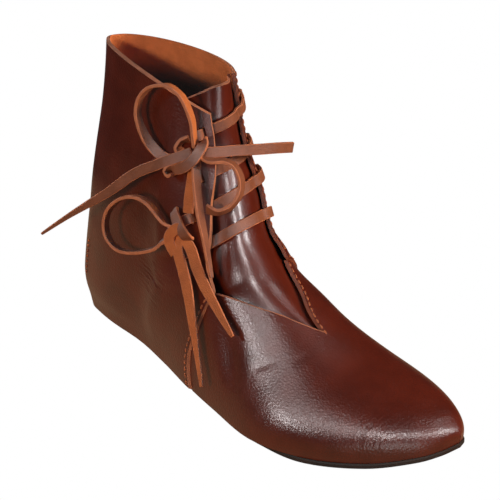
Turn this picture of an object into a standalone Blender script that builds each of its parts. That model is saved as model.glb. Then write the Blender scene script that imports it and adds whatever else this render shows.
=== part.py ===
"""Ankle shoe for the right foot: outsole, insole, upper, tongue and two leather laces.

The toe points to +X, the medial side to +Y, the lateral side to -Y and +Z is up.
Sizes and places are in millimetres; the finished meshes are in metres.
"""

import bpy
import numpy as np

MILLIMETRE = 0.001

# Moves the last's own centre line so that the origin is under the middle of the finished shoe
CENTRING = (0.54, 7.2, 0.0)

# Leather, sole and lace sizes
WALL = 2.0
SEAM_STEP = 1.3
SEAM_FALL = 0.25
SEAM_FADE = 0.12
SEAM_LAP = 0.02
TONGUE_THICKNESS = 1.6
SOLE_THICKNESS = 3.0
INSOLE_THICKNESS = 2.0
FIT_GAP = 0.3
LACE_WIDTH = 6.0
LACE_THICKNESS = 1.8
SLIT_LENGTH = 7.6
SLIT_WIDTH = 5.0
SLIT_DEPTH = 9.0

# Mesh density
FLAP_ROWS = 15
SEAM_ROWS = 10
QUARTER_COLUMNS = 15
VAMP_ROWS = 16
LINE_POINTS = 200
THROAT_COLUMNS = 6
TONGUE_ROWS = 26
TONGUE_COLUMNS = 12
SOLE_ROWS = 44
FRONT_CROWDING = 1.25
LACE_STEPS = 3
FRAME_STEP = 0.002
SLIT_STEP = 0.01

LATERAL = -1
MEDIAL = 1

# Sections of the last, from the collar over the heel to the toe. Each section is a flat curve
# from a point at the back or on the sole edge up to a point on the front ridge.
SECTION_COLUMNS = (
    "back_x", "back_z", "front_x", "front_z", "back_y", "front_y", "edge_lateral", "edge_medial",
    "wall_lateral", "wall_medial", "wall_rise", "crown_lateral", "crown_medial")
SECTIONS = (
    (-117, 174.0, -30, 170.0, 5, 9, 0, 0, 15, 24, 0.00, 30, 36),
    (-121, 136.0, -26, 143.0, 5, 8, 0, 0, 20, 27, 0.00, 38, 44),
    (-127, 98.0, -21, 126.0, 5, 6, 0, 0, 25, 29, 0.00, 43, 53),
    (-132, 57.0, -15, 113.0, 5, 4, 0, 0, 29, 30, 0.00, 46, 64),
    (-136, 24.0, -10, 104.0, 5, 2, 0, 0, 31, 30, 0.00, 47, 70),
    (-135, 0.6, -6, 97.0, 5, 0, 0, 0, 27, 28, 0.00, 47, 70),
    (-132, 0.6, -3, 93.0, 5, -1, 5, 8, 29, 28, 0.04, 46, 68),
    (-125, 0.6, 1, 87.0, 5, -2, 10, 16, 32, 29, 0.12, 45, 64),
    (-105, 0.6, 8, 79.0, 4, -2, 15, 23, 36, 30, 0.28, 43, 58),
    (-73, 0.6, 18, 69.0, 3, -3, 20, 27, 38, 32, 0.42, 41, 52),
    (-33, 0.6, 33, 59.0, 1, -3, 31, 30, 43, 35, 0.50, 39, 50),
    (7, 1.2, 51, 49.0, 0, -1, 43, 34, 52, 39, 0.55, 39, 41),
    (47, 3.3, 73, 39.0, 0, 4, 55, 40, 58, 44, 0.62, 41, 29),
    (81, 3.6, 98, 32.5, 2, 8, 51, 37, 54, 40, 0.69, 37, 20),
    (109, 5.3, 115, 29.0, 5, 9, 39, 26, 41, 28, 0.72, 29, 16),
    (127, 7.8, 128, 25.0, 7, 9, 23, 15, 25, 17, 0.72, 17, 11),
    (135, 9.8, 136, 20.0, 8, 9, 11, 8, 12, 9, 0.70, 7, 5),
    (138, 10.8, 139, 15.0, 9, 9, 0, 0, 0, 0, 0.70, 0, 0),
)
HEEL_STATION = 5.0
TOE_STATION = len(SECTIONS) - 1.0

# Edge of the outsole and of the insole past the upper's lower edge: place along the shoe, margin
OUTSOLE_MARGINS = ((-140.0, -3.2), (-60.0, -2.8), (4.0, -2.8), (48.0, -3.0), (80.0, 0.8), (140.0, 0.8))
INSOLE_MARGINS = ((-140.0, -3.0), (4.0, -3.8), (140.0, -3.8))

# Free front edges of the quarter: station along the last, share of the way across to the ridge
FLAP_EDGE = ((0.63, 0.884), (1.24, 0.903), (1.87, 0.900), (3.28, 0.853), (5.11, 0.822),
             (7.61, 0.741), (8.41, 0.691))
SEWN_EDGE = ((0.0, 0.880), (1.14, 0.880), (2.46, 0.890), (3.45, 0.876), (4.86, 0.878),
             (6.64, 0.865), (8.40, 0.872))
FRONT_EDGES = {LATERAL: FLAP_EDGE, MEDIAL: SEWN_EDGE}

# Rear edge of the vamp round the throat: share across, station
THROAT_LATERAL = ((0.691, 8.41), (0.745, 8.85), (0.815, 9.44), (0.890, 9.98), (0.946, 10.50), (1.0, 10.97))
THROAT_MEDIAL = ((0.872, 8.40), (0.888, 9.05), (0.919, 9.66), (0.957, 10.14), (0.985, 10.64), (1.0, 10.97))
THROAT_EDGES = {LATERAL: THROAT_LATERAL, MEDIAL: THROAT_MEDIAL}

# Side seam: share of the seam's length from the sole edge, station
SIDE_SEAM = ((0.0, 10.42), (0.07, 10.28), (0.37, 9.70), (0.67, 9.20), (0.85, 8.80), (1.0, 8.41))
COLLAR_DROP = {LATERAL: 0.63, MEDIAL: 0.0}
COLLAR_CURVE = 2.2
FLAP_SHARE = 0.62

# Swell of the heel off the straight pattern: size, middle of the heel, and the shares between which
# it rises down the back, ends at the sole and ends towards the front
HEEL_SWELL = 4.4
HEEL_MIDDLE = np.array((-95.0, 5.0))
SWELL_RISE = (0.0, 0.75)
SWELL_FOOT = (1.0, 0.88)
SWELL_FRONT = (0.8, 0.4)

# How closely the relaxed quarter keeps to its pattern: shares between which the hold rises to full
FRONT_HOLD = (0.52, 0.80)
BACK_HOLD = (0.40, 0.12)
SOLE_HOLD = (0.84, 1.0)
HOLD_FULL = 40.0
HOLD_LEAST = 0.0004
HOLD_BORDER = 1.0e6

# Tongue: hidden margins and depth under the upper's outer face at its two edges
TONGUE_TOP = 0.12
TONGUE_TIP = 11.17
TONGUE_MARGIN_LATERAL = 0.10
TONGUE_MARGIN_TOP = 0.12
TONGUE_MARGIN_MEDIAL = 0.06
TONGUE_TIP_MARGIN = 0.03
TONGUE_DEPTH_LATERAL = 7.0
TONGUE_DEPTH_MEDIAL = 2.9
TONGUE_DEPTH_TIP = 3.3
TONGUE_BULGE = 2.4
BULGE_RISE = (0.0, 0.5)
BULGE_FALL = (1.05, 0.65)
TONGUE_NARROWS = 8.5
TONGUE_TOP_FALL = 2.2
TONGUE_TOP_CURVE = 1.5
TONGUE_TOP_REACH = 2.0

# Lace slits: station and share across on the lateral side, then on the medial side
SLIT_COLUMNS = ("lateral_station", "lateral_across", "medial_station", "medial_across")
SLITS = (
    (1.00, 0.835, 0.60, 0.770),
    (2.21, 0.815, 1.75, 0.770),
    (3.53, 0.765, 2.85, 0.765),
    (5.30, 0.730, 5.10, 0.760),
)
SLIT_RUN = 4.6
LACE_LIFT = 1.4
LACE_CREST = 1.9
EDGE_PASS = 0.02
TONGUE_PASS = 0.05
TONGUE_PASS_ROWS = 6
INNER_TURN = 0.045
INNER_DEPTH = 5.4
INNER_SHARE = 0.8
INNER_REACH = 0.75

# A lace through a slit: share of the slit's run along the bar, height of the lace off the last
FLAP_PASS = ((-1.0, 1.4), (-0.3, 1.2), (0.3, -4.0), (1.0, -4.4))
SEWN_PASS = ((-0.8, 1.4), (-0.3, 1.2), (0.3, -4.0), (0.9, -4.0))

# Free lace strips: x, y, z and twist of the strip about its own run, in degrees
CORD_SIDE = np.array((0.25, -0.93, 0.27))
CORDS = {
    "upper_lace_loop_rear": (
        (-32.0, -14.8, 145, 80), (-32.5, -15.3, 153, 85), (-34.5, -16.5, 160.5, 90), (-38.5, -17.5, 167, 90),
        (-45.5, -19, 170.8, 90), (-53, -19.5, 169.3, 90), (-60.5, -20, 165.5, 90), (-66.5, -21, 157.5, 90),
        (-67.3, -22, 147.5, 90), (-61, -22, 136, 65), (-52.5, -19.2, 127.8, 15), (-43.5, -17.5, 127.5, 5)),
    "upper_lace_loop_front": (
        (-20.5, -13.5, 133, 70), (-15.5, -8.5, 132.6, 80), (-11, -6, 130.5, 90), (-7.3, -5, 125.8, 90),
        (-5, -6, 119.8, 90), (-4.8, -8.8, 114.2, 90), (-7.5, -12.8, 108.7, 80), (-12, -17, 106, 60),
        (-18.8, -19.2, 106.6, 20)),
    "upper_lace_end_rear": (
        (-41, -22.5, 130.4, 0), (-50, -25.2, 125.2, 0), (-66.5, -26, 114.8, 0), (-84, -30, 99.3, 10),
        (-98, -34, 88, 20), (-113, -36, 76, 20), (-132, -38, 60, 20)),
    "upper_lace_end_front": (
        (-22.2, -10.8, 136.4, 0), (-15, 1.5, 135.6, 0), (-10, 14, 133.6, 0), (-7, 25, 131.6, 0),
        (-6, 36, 128.6, 0)),
    "upper_lace_tail_short": (
        (-31, -16.6, 124, 180), (-30.7, -18.7, 117, 180), (-29.8, -21.2, 109.8, 180), (-28.4, -23.6, 102.4, 180)),
    "upper_lace_tail_long": (
        (-25.8, -19.5, 124.8, 70), (-23, -22, 116.2, 80), (-17.8, -25, 104.4, 80), (-12.8, -26.5, 91.2, 80),
        (-8.8, -28, 79.7, 70), (-6.2, -29, 72.7, 60)),
    "lower_lace_loop": (
        (-40.5, -30.7, 94.8, 70), (-45.5, -30.7, 98.8, 85), (-52.5, -30.5, 103, 90), (-61.5, -31, 104, 90),
        (-73, -31.2, 99, 90), (-82.5, -31.5, 89.3, 90), (-84.8, -32.5, 79.7, 90), (-81.5, -33.5, 72.3, 90),
        (-72, -34.5, 69, 90), (-59.5, -34.7, 71.7, 90), (-45, -34.5, 78.8, 80), (-39.8, -32.2, 84.4, 70)),
    "lower_lace_end_rear": (
        (-28.4, -32, 82.6, 190), (-22.7, -34, 72.5, 190), (-17.3, -36.5, 64.2, 190), (-10.2, -40.4, 49, 190),
        (-4.4, -43.2, 34.2, 190), (6.4, -50.7, 18.4, 190)),
    "lower_lace_end_front": (
        (-23, -28, 84.8, 200), (-15.4, -30.8, 76, 200), (-7, -33.2, 68.2, 200), (3.4, -35, 59.2, 200),
        (13.6, -38, 53.2, 200), (18.8, -39.2, 49.8, 200)),
}
CORDS_BACK_TO_KNOT = ("upper_lace_loop_rear", "lower_lace_loop")
CORD_TAPERS = {
    "upper_lace_end_rear": 0.25, "upper_lace_tail_long": 0.3, "lower_lace_end_rear": 0.35,
    "lower_lace_end_front": 0.3}

# Knots: centre, then half sizes along, across and off the side of the shoe
KNOTS = {
    "upper_lace_knot": ((-31.2, -16.2, 135.5), (6.4, 7.2, 4.2)),
    "lower_lace_knot": ((-31.5, -28.5, 91.5), (6.0, 6.6, 4.0)),
}
KNOT_GAP = 0.5
GATHER_WIDTH = 0.4
GATHER_ROWS = 2
KNOT_RINGS = 6
KNOT_SPOKES = 10

BOX_FACES = ((0, 3, 2, 1), (4, 5, 6, 7), (0, 1, 5, 4), (1, 2, 6, 5), (2, 3, 7, 6), (3, 0, 4, 7))
ROUGHNESS = 0.5
COLOURS = {
    "outsole": (0.02, 0.017, 0.015), "insole": (0.30, 0.13, 0.05), "upper": (0.11, 0.022, 0.010),
    "tongue": (0.12, 0.024, 0.010), "lace": (0.36, 0.12, 0.05)}


def smooth_lookup(rows, places):
    """Value of a two-column table at each place, by a smooth curve that does not overshoot."""
    table = np.array(rows, dtype=float)
    keys, values = table[:, 0], table[:, 1]
    gaps = np.diff(keys)
    rises = np.diff(values) / gaps
    slopes = np.zeros(len(keys))
    slopes[0], slopes[-1] = rises[0], rises[-1]
    same_way = rises[:-1] * rises[1:] > 0
    total = rises[:-1] + rises[1:]
    slopes[1:-1] = np.where(same_way, 2 * rises[:-1] * rises[1:] / np.where(total == 0, 1, total), 0.0)
    places = np.clip(np.asarray(places, dtype=float), keys[0], keys[-1])
    cell = np.clip(np.searchsorted(keys, places, side="right") - 1, 0, len(gaps) - 1)
    part = (places - keys[cell]) / gaps[cell]
    start = (1 + 2 * part) * (1 - part) ** 2
    start_slope = part * (1 - part) ** 2
    end = part ** 2 * (3 - 2 * part)
    end_slope = part ** 2 * (part - 1)
    return (start * values[cell] + end * values[cell + 1]
            + gaps[cell] * (start_slope * slopes[cell] + end_slope * slopes[cell + 1]))


def smooth_path(rows, steps):
    """Points of a smooth curve through every row, with the given number of steps between rows."""
    table = np.array(rows, dtype=float)
    last = len(table) - 1
    places = np.linspace(0, last, last * steps + 1)
    cell = np.clip(np.floor(places).astype(int), 0, last - 1)
    return spline_rows(table, cell, (places - cell)[:, None])


def spline_rows(table, cell, part):
    """Smooth blend of four neighbouring table rows."""
    last = len(table) - 1
    before, start = table[np.clip(cell - 1, 0, last)], table[cell]
    end, after = table[cell + 1], table[np.clip(cell + 2, 0, last)]
    return 0.5 * (2 * start + (end - before) * part + (2 * before - 5 * start + 4 * end - after) * part ** 2
                  + (3 * start - before - 3 * end + after) * part ** 3)


def section_at(stations):
    """Named section sizes at each station along the last."""
    table = np.array(SECTIONS, dtype=float)
    stations = np.atleast_1d(np.asarray(stations, dtype=float))
    cell = np.clip(np.floor(stations).astype(int), 0, len(table) - 2)
    section = dict(zip(SECTION_COLUMNS, spline_rows(table, cell, (stations - cell)[:, None]).T))
    for name in ("edge_lateral", "edge_medial"):
        section[name] = np.maximum(section[name], 0.0)
    section["back_z"] = np.maximum(section["back_z"], SECTIONS[int(HEEL_STATION)][1])
    return section


def last_point(stations, across, side):
    """Points on the last: across is 0 at the back or the sole edge and 1 on the front ridge."""
    section = section_at(stations)
    across = np.atleast_1d(np.asarray(across, dtype=float))
    name = "lateral" if side == LATERAL else "medial"
    foot, shoulder = (1 - across) ** 3, 3 * (1 - across) ** 2 * across
    crown, ridge = 3 * (1 - across) * across ** 2, across ** 3
    y = (foot * (section["back_y"] + side * section["edge_" + name])
         + shoulder * (section["back_y"] + side * section["wall_" + name])
         + crown * (section["front_y"] + side * section["crown_" + name]) + ridge * section["front_y"])
    rise = shoulder * section["wall_rise"] + crown + ridge
    x = section["back_x"] + (section["front_x"] - section["back_x"]) * rise
    z = section["back_z"] + (section["front_z"] - section["back_z"]) * rise
    return np.stack([x, y, z], -1)


def last_frame(stations, turns):
    """Point and outward direction on the last; turn is below 0 on the lateral side, 0 on the ridge."""
    stations = np.atleast_1d(np.asarray(stations, dtype=float))
    turns = np.atleast_1d(np.asarray(turns, dtype=float))
    step = FRAME_STEP

    def point(station, turn):
        lateral = last_point(station, 1 - np.abs(turn), LATERAL)
        medial = last_point(station, 1 - np.abs(turn), MEDIAL)
        return np.where((turn < 0)[:, None], lateral, medial)

    along = point(stations + step, turns) - point(np.maximum(stations - step, 0), turns)
    around = point(stations, turns + step) - point(stations, turns - step)
    out = np.cross(along, around)
    out /= np.linalg.norm(out, axis=1)[:, None]
    return point(stations, turns), out


def make_object(name, points, faces, colour):
    """One named solid with its own material."""
    mesh = bpy.data.meshes.new(name)
    moved = (np.asarray(points) + np.array(CENTRING)) * MILLIMETRE
    mesh.from_pydata([tuple(point) for point in moved], [], faces)
    mesh.validate()
    solid = bpy.data.objects.new(name, mesh)
    bpy.context.scene.collection.objects.link(solid)
    material = bpy.data.materials.new(name)
    material.use_nodes = True
    shader = material.node_tree.nodes["Principled BSDF"]
    shader.inputs["Base Color"].default_value = (*colour, 1.0)
    shader.inputs["Roughness"].default_value = ROUGHNESS
    mesh.materials.append(material)
    return solid


class Sheet:
    """A surface of quads whose shared border points are joined."""

    def __init__(self):
        self.points = []
        self.raises = []
        self.faces = []
        self.places = {}

    def grid(self, points, raises, flip):
        """Add a grid of points and return the numbers of its points."""
        numbers = np.zeros(points.shape[:2], dtype=int)
        for row in range(points.shape[0]):
            for column in range(points.shape[1]):
                numbers[row, column] = self.number(points[row, column], raises[row, column])
        self.stitch(numbers, flip)
        return numbers

    def number(self, point, lift):
        """Number of the point, shared with any earlier point in the same place."""
        key = tuple(np.round(point, 3))
        if key not in self.places:
            self.places[key] = len(self.points)
            self.points.append(point)
            self.raises.append(lift)
        return self.places[key]

    def stitch(self, numbers, flip):
        """Add the quads between neighbouring rows and columns."""
        for row in range(numbers.shape[0] - 1):
            for column in range(numbers.shape[1] - 1):
                loop = [numbers[row, column], numbers[row + 1, column],
                        numbers[row + 1, column + 1], numbers[row, column + 1]]
                corners = list(dict.fromkeys(int(number) for number in loop))
                if len(corners) > 2:
                    self.faces.append(corners[::-1] if flip else corners)

    def normals(self):
        """Outward direction at every point."""
        points = np.array(self.points)
        total = np.zeros_like(points)
        for face in self.faces:
            corner = points[face]
            spread = np.cross(corner[2] - corner[0], corner[-1] - corner[1])
            total[face] += spread
        return total / np.linalg.norm(total, axis=1)[:, None]

    def solid(self, name, depths, colour):
        """Close the sheet into a wall: outer face, inner face at the given depth, and rims."""
        points = np.array(self.points)
        normals = self.normals()
        outer = points + normals * np.array(self.raises)[:, None]
        inner = points - normals * np.broadcast_to(depths, len(points))[:, None]
        inner[:, 2] = np.maximum(inner[:, 2], points[:, 2].min())
        count = len(points)
        faces = list(self.faces) + [[number + count for number in face[::-1]] for face in self.faces]
        sides = {}
        for face in self.faces:
            for start, end in zip(face, face[1:] + face[:1]):
                sides[(start, end)] = True
        for start, end in sides:
            if (end, start) not in sides:
                faces.append([end, start, start + count, end + count])
        return make_object(name, np.vstack([outer, inner]), faces, colour)


def collar_station(side, share):
    """Station of the top edge at each share of the way from the back to the front corner."""
    return COLLAR_DROP[side] * share ** COLLAR_CURVE


def seam_station(share):
    """Station of the side seam at each share of its length from the sole edge."""
    return smooth_lookup(SIDE_SEAM, share)


def even_places(stations, across, side, shares):
    """Places on the last at even shares of the length of a line."""
    points = last_point(stations, across, side)
    lengths = np.concatenate([[0], np.cumsum(np.linalg.norm(np.diff(points, axis=0), axis=1))])
    wanted = np.asarray(shares) * lengths[-1]
    return np.stack([np.interp(wanted, lengths, stations), np.interp(wanted, lengths, across)], -1)


def quarter_borders(side, falls, shares):
    """Places of the quarter's top, bottom, back and front borders."""
    fine = np.linspace(0, 1, LINE_POINTS)
    corner = THROAT_EDGES[side][0]
    top = even_places(collar_station(side, fine), fine * FRONT_EDGES[side][0][1], side, shares)
    seam_foot = SIDE_SEAM[0][1]
    bottom = even_places(HEEL_STATION + (seam_foot - HEEL_STATION) * fine ** 2, 0 * fine, side, shares)
    back = even_places(HEEL_STATION * fine, 0 * fine, side, falls)
    edge = FRONT_EDGES[side]
    stations = edge[0][0] + (edge[-1][0] - edge[0][0]) * fine
    above = np.arange(len(falls)) < FLAP_ROWS
    flap = even_places(stations, smooth_lookup(edge, stations), side, falls[above] / FLAP_SHARE)
    seam = (1 - falls[~above]) / (1 - FLAP_SHARE)
    front = np.vstack([flap, np.stack([seam_station(seam), seam * corner[0]], -1)])
    return top, bottom, back, front


def fill_patch(top, bottom, back, front, falls, shares):
    """Values inside a four-sided patch from the values on its borders."""
    fall, share = falls[:, None, None], shares[None, :, None]
    sides = ((1 - fall) * top[None] + fall * bottom[None]
             + (1 - share) * back[:, None] + share * front[:, None])
    corners = ((1 - fall) * ((1 - share) * top[0] + share * top[-1])
               + fall * ((1 - share) * bottom[0] + share * bottom[-1]))
    return sides - corners


def soft_step(low, high, values):
    """Smooth rise from 0 to 1 between two values."""
    part = np.clip((values - low) / (high - low), 0, 1)
    return part * part * (3 - 2 * part)


def quarter_rows():
    """Shares of the way down the quarter at which its rows lie."""
    flap = np.linspace(0, FLAP_SHARE, FLAP_ROWS)
    seam = FLAP_SHARE + (1 - FLAP_SHARE) * np.linspace(0, 1, SEAM_ROWS)
    return np.concatenate([flap, seam[1:]])


def quarter_pattern(side, falls, shares):
    """Points of one half of the quarter before it is relaxed, collar to sole edge, back to front edge."""
    borders = quarter_borders(side, falls, shares)
    places = fill_patch(*borders, falls, shares)
    lines = [last_point(border[:, 0], border[:, 1], side) for border in borders]
    wrap = fill_patch(*lines, falls, shares)
    swell = soft_step(*SWELL_RISE, falls) * soft_step(*SWELL_FOOT, falls)
    swell = HEEL_SWELL * swell[:, None] * soft_step(*SWELL_FRONT, shares)
    away = wrap[..., :2] - HEEL_MIDDLE
    wrap[..., :2] += away * (swell / np.linalg.norm(away, axis=2))[..., None]
    last = last_point(places[..., 0].ravel(), places[..., 1].ravel(), side).reshape(wrap.shape)
    return wrap + (last - wrap) * soft_step(*FRONT_HOLD, shares)[None, :, None]


def quarter_hold(falls, shares):
    """How firmly each point of a half quarter is held to the pattern while it is relaxed."""
    across = np.maximum(soft_step(*FRONT_HOLD, shares), soft_step(*BACK_HOLD, shares))
    hold = HOLD_LEAST + HOLD_FULL * np.maximum(across[None], soft_step(*SOLE_HOLD, falls)[:, None]) ** 2
    hold[[0, -1]] = HOLD_BORDER
    hold[:, -1] = HOLD_BORDER
    return hold


def relax(points, hold):
    """Grid of points moved to the smoothest surface that still keeps to its holds."""
    rows, columns = hold.shape
    number = np.arange(rows * columns).reshape(rows, columns)
    bends = [(number[:-2], number[1:-1], number[1:-1], number[2:]),
             (number[:, :-2], number[:, 1:-1], number[:, 1:-1], number[:, 2:]),
             (number[:-1, :-1], number[:-1, 1:], number[1:, :-1], number[1:, 1:])]
    system = np.diag(hold.ravel())
    signs = (1.0, -1.0, -1.0, 1.0)
    for corners in bends:
        corners = [corner.ravel() for corner in corners]
        for first, first_sign in zip(corners, signs):
            for second, second_sign in zip(corners, signs):
                np.add.at(system, (first, second), first_sign * second_sign)
    wanted = hold.reshape(-1, 1) * points.reshape(-1, 3)
    return np.linalg.solve(system, wanted).reshape(points.shape)


def quarter_grids():
    """Points of the lateral and medial halves of the quarter, and the lift of their wall at the seams."""
    falls = quarter_rows()
    shares = 1 - (1 - np.linspace(0, 1, QUARTER_COLUMNS)) ** FRONT_CROWDING
    lateral, medial = (quarter_pattern(side, falls, shares) for side in (LATERAL, MEDIAL))
    hold = quarter_hold(falls, shares)
    whole = relax(np.hstack([lateral[:, ::-1], medial[:, 1:]]), np.hstack([hold[:, ::-1], hold[:, 1:]]))
    near_edge = soft_step(1 - SEAM_FALL, 1, shares)[None]
    near_seam = soft_step(FLAP_SHARE - SEAM_FADE, FLAP_SHARE, falls)[:, None]
    halves = {LATERAL: whole[:, QUARTER_COLUMNS - 1::-1], MEDIAL: whole[:, QUARTER_COLUMNS - 1:]}
    return halves, SEAM_STEP * near_edge * near_seam


def vamp_grid(side):
    """Points of one half of the vamp, from its rear edge to the toe."""
    corner = THROAT_EDGES[side][0][0]
    seam_share = np.linspace(0, 1, SEAM_ROWS)
    throat = np.linspace(corner, 1, THROAT_COLUMNS + 1)[1:]
    across = np.concatenate([seam_share * corner, throat])
    rear = np.concatenate([seam_station(seam_share) + SEAM_LAP, smooth_lookup(THROAT_EDGES[side], throat)])
    forward = np.linspace(0, 1, VAMP_ROWS)[:, None]
    stations = rear + (TOE_STATION - rear) * forward
    across = across + (np.linspace(0, 1, len(across)) - across) * forward
    return last_point(stations.ravel(), across.ravel(), side).reshape(*stations.shape, 3)


def build_upper():
    """Hollow upper: vamp and quarter in one wall, with the quarter standing proud at the side seams."""
    sheet = Sheet()
    halves, lifts = quarter_grids()
    for side in (LATERAL, MEDIAL):
        flip = side == MEDIAL
        quarter = sheet.grid(halves[side], lifts, flip)
        points = vamp_grid(side)
        vamp = sheet.grid(points, np.zeros(points.shape[:2]), flip)
        seam = quarter[:FLAP_ROWS - 2:-1, -1]
        sheet.stitch(np.stack([seam, vamp[0, :SEAM_ROWS]]), flip)
    return sheet.solid("upper", WALL, COLOURS["upper"])


def edge_share(side, stations):
    """Share across of the throat's edge at each station."""
    rows = [row[::-1] for row in THROAT_EDGES[side]]
    front = smooth_lookup(FRONT_EDGES[side], stations)
    throat = smooth_lookup(rows, stations)
    return np.where(stations < rows[0][0], front, throat)


def near_tongue_tip(stations):
    """Share of the way from the throat's corner to the tongue's tip."""
    return np.clip((stations - TONGUE_NARROWS) / (TONGUE_TIP - TONGUE_NARROWS), 0, 1)


def tongue_depth(stations, share):
    """Depth of the tongue's outer face under the last, by its share from the lateral edge."""
    lateral = TONGUE_DEPTH_LATERAL + (TONGUE_DEPTH_TIP - TONGUE_DEPTH_LATERAL) * near_tongue_tip(stations)
    flap = edge_share(LATERAL, stations) - 1
    shown = 2 - edge_share(LATERAL, stations) - edge_share(MEDIAL, stations)
    part = (tongue_turns(stations, share) - flap) / np.maximum(shown, TONGUE_TIP_MARGIN)
    bulge = TONGUE_BULGE * soft_step(*BULGE_RISE, part) * soft_step(*BULGE_FALL, part)
    return lateral + (TONGUE_DEPTH_MEDIAL - lateral) * share - bulge * (1 - near_tongue_tip(stations))


def tongue_turns(stations, share):
    """Turn from the ridge of the tongue's points at each station and share from the lateral edge."""
    near_tip = near_tongue_tip(stations)
    margin = TONGUE_MARGIN_LATERAL + (TONGUE_TIP_MARGIN - TONGUE_MARGIN_LATERAL) * near_tip
    margin = margin + TONGUE_MARGIN_TOP * np.clip(1 - stations / TONGUE_TOP_REACH, 0, 1)
    lateral = -(1 - edge_share(LATERAL, stations)) - margin
    margin = TONGUE_MARGIN_MEDIAL + (TONGUE_TIP_MARGIN - TONGUE_MARGIN_MEDIAL) * near_tip
    medial = 1 - edge_share(MEDIAL, stations) + margin
    return lateral + (medial - lateral) * share


def build_tongue():
    """Leaf-shaped tongue that lies under the throat's edges."""
    stations = np.linspace(TONGUE_TOP, TONGUE_TIP, TONGUE_ROWS)
    share = np.linspace(0, 1, TONGUE_COLUMNS)
    rows, shares = np.meshgrid(stations, share, indexing="ij")
    turns = tongue_turns(rows, shares)
    fade = np.clip(1 - rows / TONGUE_TOP_REACH, 0, 1)
    rows = rows + fade * TONGUE_TOP_FALL * np.clip(-turns, 0, 1) ** TONGUE_TOP_CURVE
    points, out = last_frame(rows.ravel(), turns.ravel())
    points = points - out * tongue_depth(rows, shares).reshape(-1, 1)
    sheet = Sheet()
    sheet.grid(points.reshape(*rows.shape, 3), np.zeros(rows.shape), False)
    return sheet.solid("tongue", TONGUE_THICKNESS, COLOURS["tongue"])


def sole_outline(margins):
    """Lateral and medial edge points of a sole, moved out by its margins."""
    stations = np.linspace(HEEL_STATION, TOE_STATION, SOLE_ROWS)
    section = section_at(stations)
    sides = []
    for side, name in ((LATERAL, "edge_lateral"), (MEDIAL, "edge_medial")):
        y = section["back_y"] + side * section[name]
        sides.append(np.stack([section["back_x"], y], -1))
    loop = np.vstack([sides[0], sides[1][-2:0:-1]])
    along = np.roll(loop, -1, axis=0) - np.roll(loop, 1, axis=0)
    out = np.stack([along[:, 1], -along[:, 0]], -1)
    out /= np.linalg.norm(out, axis=1)[:, None]
    moved = loop + out * smooth_lookup(margins, loop[:, 0])[:, None]
    lateral = moved[:SOLE_ROWS]
    medial = np.vstack([moved[:1], moved[SOLE_ROWS:][::-1], moved[SOLE_ROWS - 1:SOLE_ROWS]])
    return lateral, medial


def sole_height(x):
    """Height of the sole's underside, which rises at the toe."""
    section = section_at(np.linspace(HEEL_STATION, TOE_STATION, SOLE_ROWS))
    edge = np.interp(x, section["back_x"], section["back_z"])
    return np.maximum(edge - SOLE_THICKNESS - FIT_GAP, 0.0)


def build_plate(name, margins, bottom, thickness, colour):
    """Flat plate of the sole's outline that follows the toe spring."""
    lateral, medial = sole_outline(margins)
    points = []
    places = {}
    for level in (0.0, thickness):
        for row in range(SOLE_ROWS):
            for side, line in ((LATERAL, lateral), (MEDIAL, medial)):
                if side == MEDIAL and row in (0, SOLE_ROWS - 1):
                    places[(level, row, side)] = places[(level, row, LATERAL)]
                    continue
                places[(level, row, side)] = len(points)
                points.append((*line[row], sole_height(line[row][0]) + bottom + level))
    faces = []

    def add(corners, flip):
        loop = list(dict.fromkeys(corners))
        if len(loop) > 2:
            faces.append(loop[::-1] if flip else loop)

    for row in range(SOLE_ROWS - 1):
        for level, flip in ((0.0, True), (thickness, False)):
            add([places[(level, row, LATERAL)], places[(level, row + 1, LATERAL)],
                 places[(level, row + 1, MEDIAL)], places[(level, row, MEDIAL)]], flip)
        for side, flip in ((LATERAL, False), (MEDIAL, True)):
            add([places[(0.0, row, side)], places[(0.0, row + 1, side)],
                 places[(thickness, row + 1, side)], places[(thickness, row, side)]], flip)
    return make_object(name, np.array(points), faces, colour)


def strip_solid(name, path, out, width, thickness):
    """Flat strip along a path whose face looks in the given directions."""
    run = np.gradient(path, axis=0)
    run /= np.linalg.norm(run, axis=1)[:, None]
    across = np.cross(out, run)
    across /= np.linalg.norm(across, axis=1)[:, None]
    face = np.cross(run, across)
    width = np.broadcast_to(width, len(path))[:, None]
    points = []
    for wide, thick in ((-0.5, -0.5), (0.5, -0.5), (0.5, 0.5), (-0.5, 0.5)):
        points.append(path + across * width * wide + face * thickness * thick)
    rings = np.stack(points, 1)
    faces = [[3, 2, 1, 0]]
    for ring in range(len(path) - 1):
        for corner in range(4):
            following = (corner + 1) % 4
            faces.append([4 * ring + corner, 4 * ring + following,
                          4 * ring + 4 + following, 4 * ring + 4 + corner])
    base = 4 * (len(path) - 1)
    faces.append([base, base + 1, base + 2, base + 3])
    return make_object(name, rings.reshape(-1, 3), faces, COLOURS["lace"])


def slit_run(station, turn):
    """Turn over which a lace passes through a slit."""
    step = SLIT_STEP
    ends = last_frame([station, station], [turn - step, turn + step])[0]
    return SLIT_RUN * 2 * step / np.linalg.norm(ends[1] - ends[0])


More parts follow.
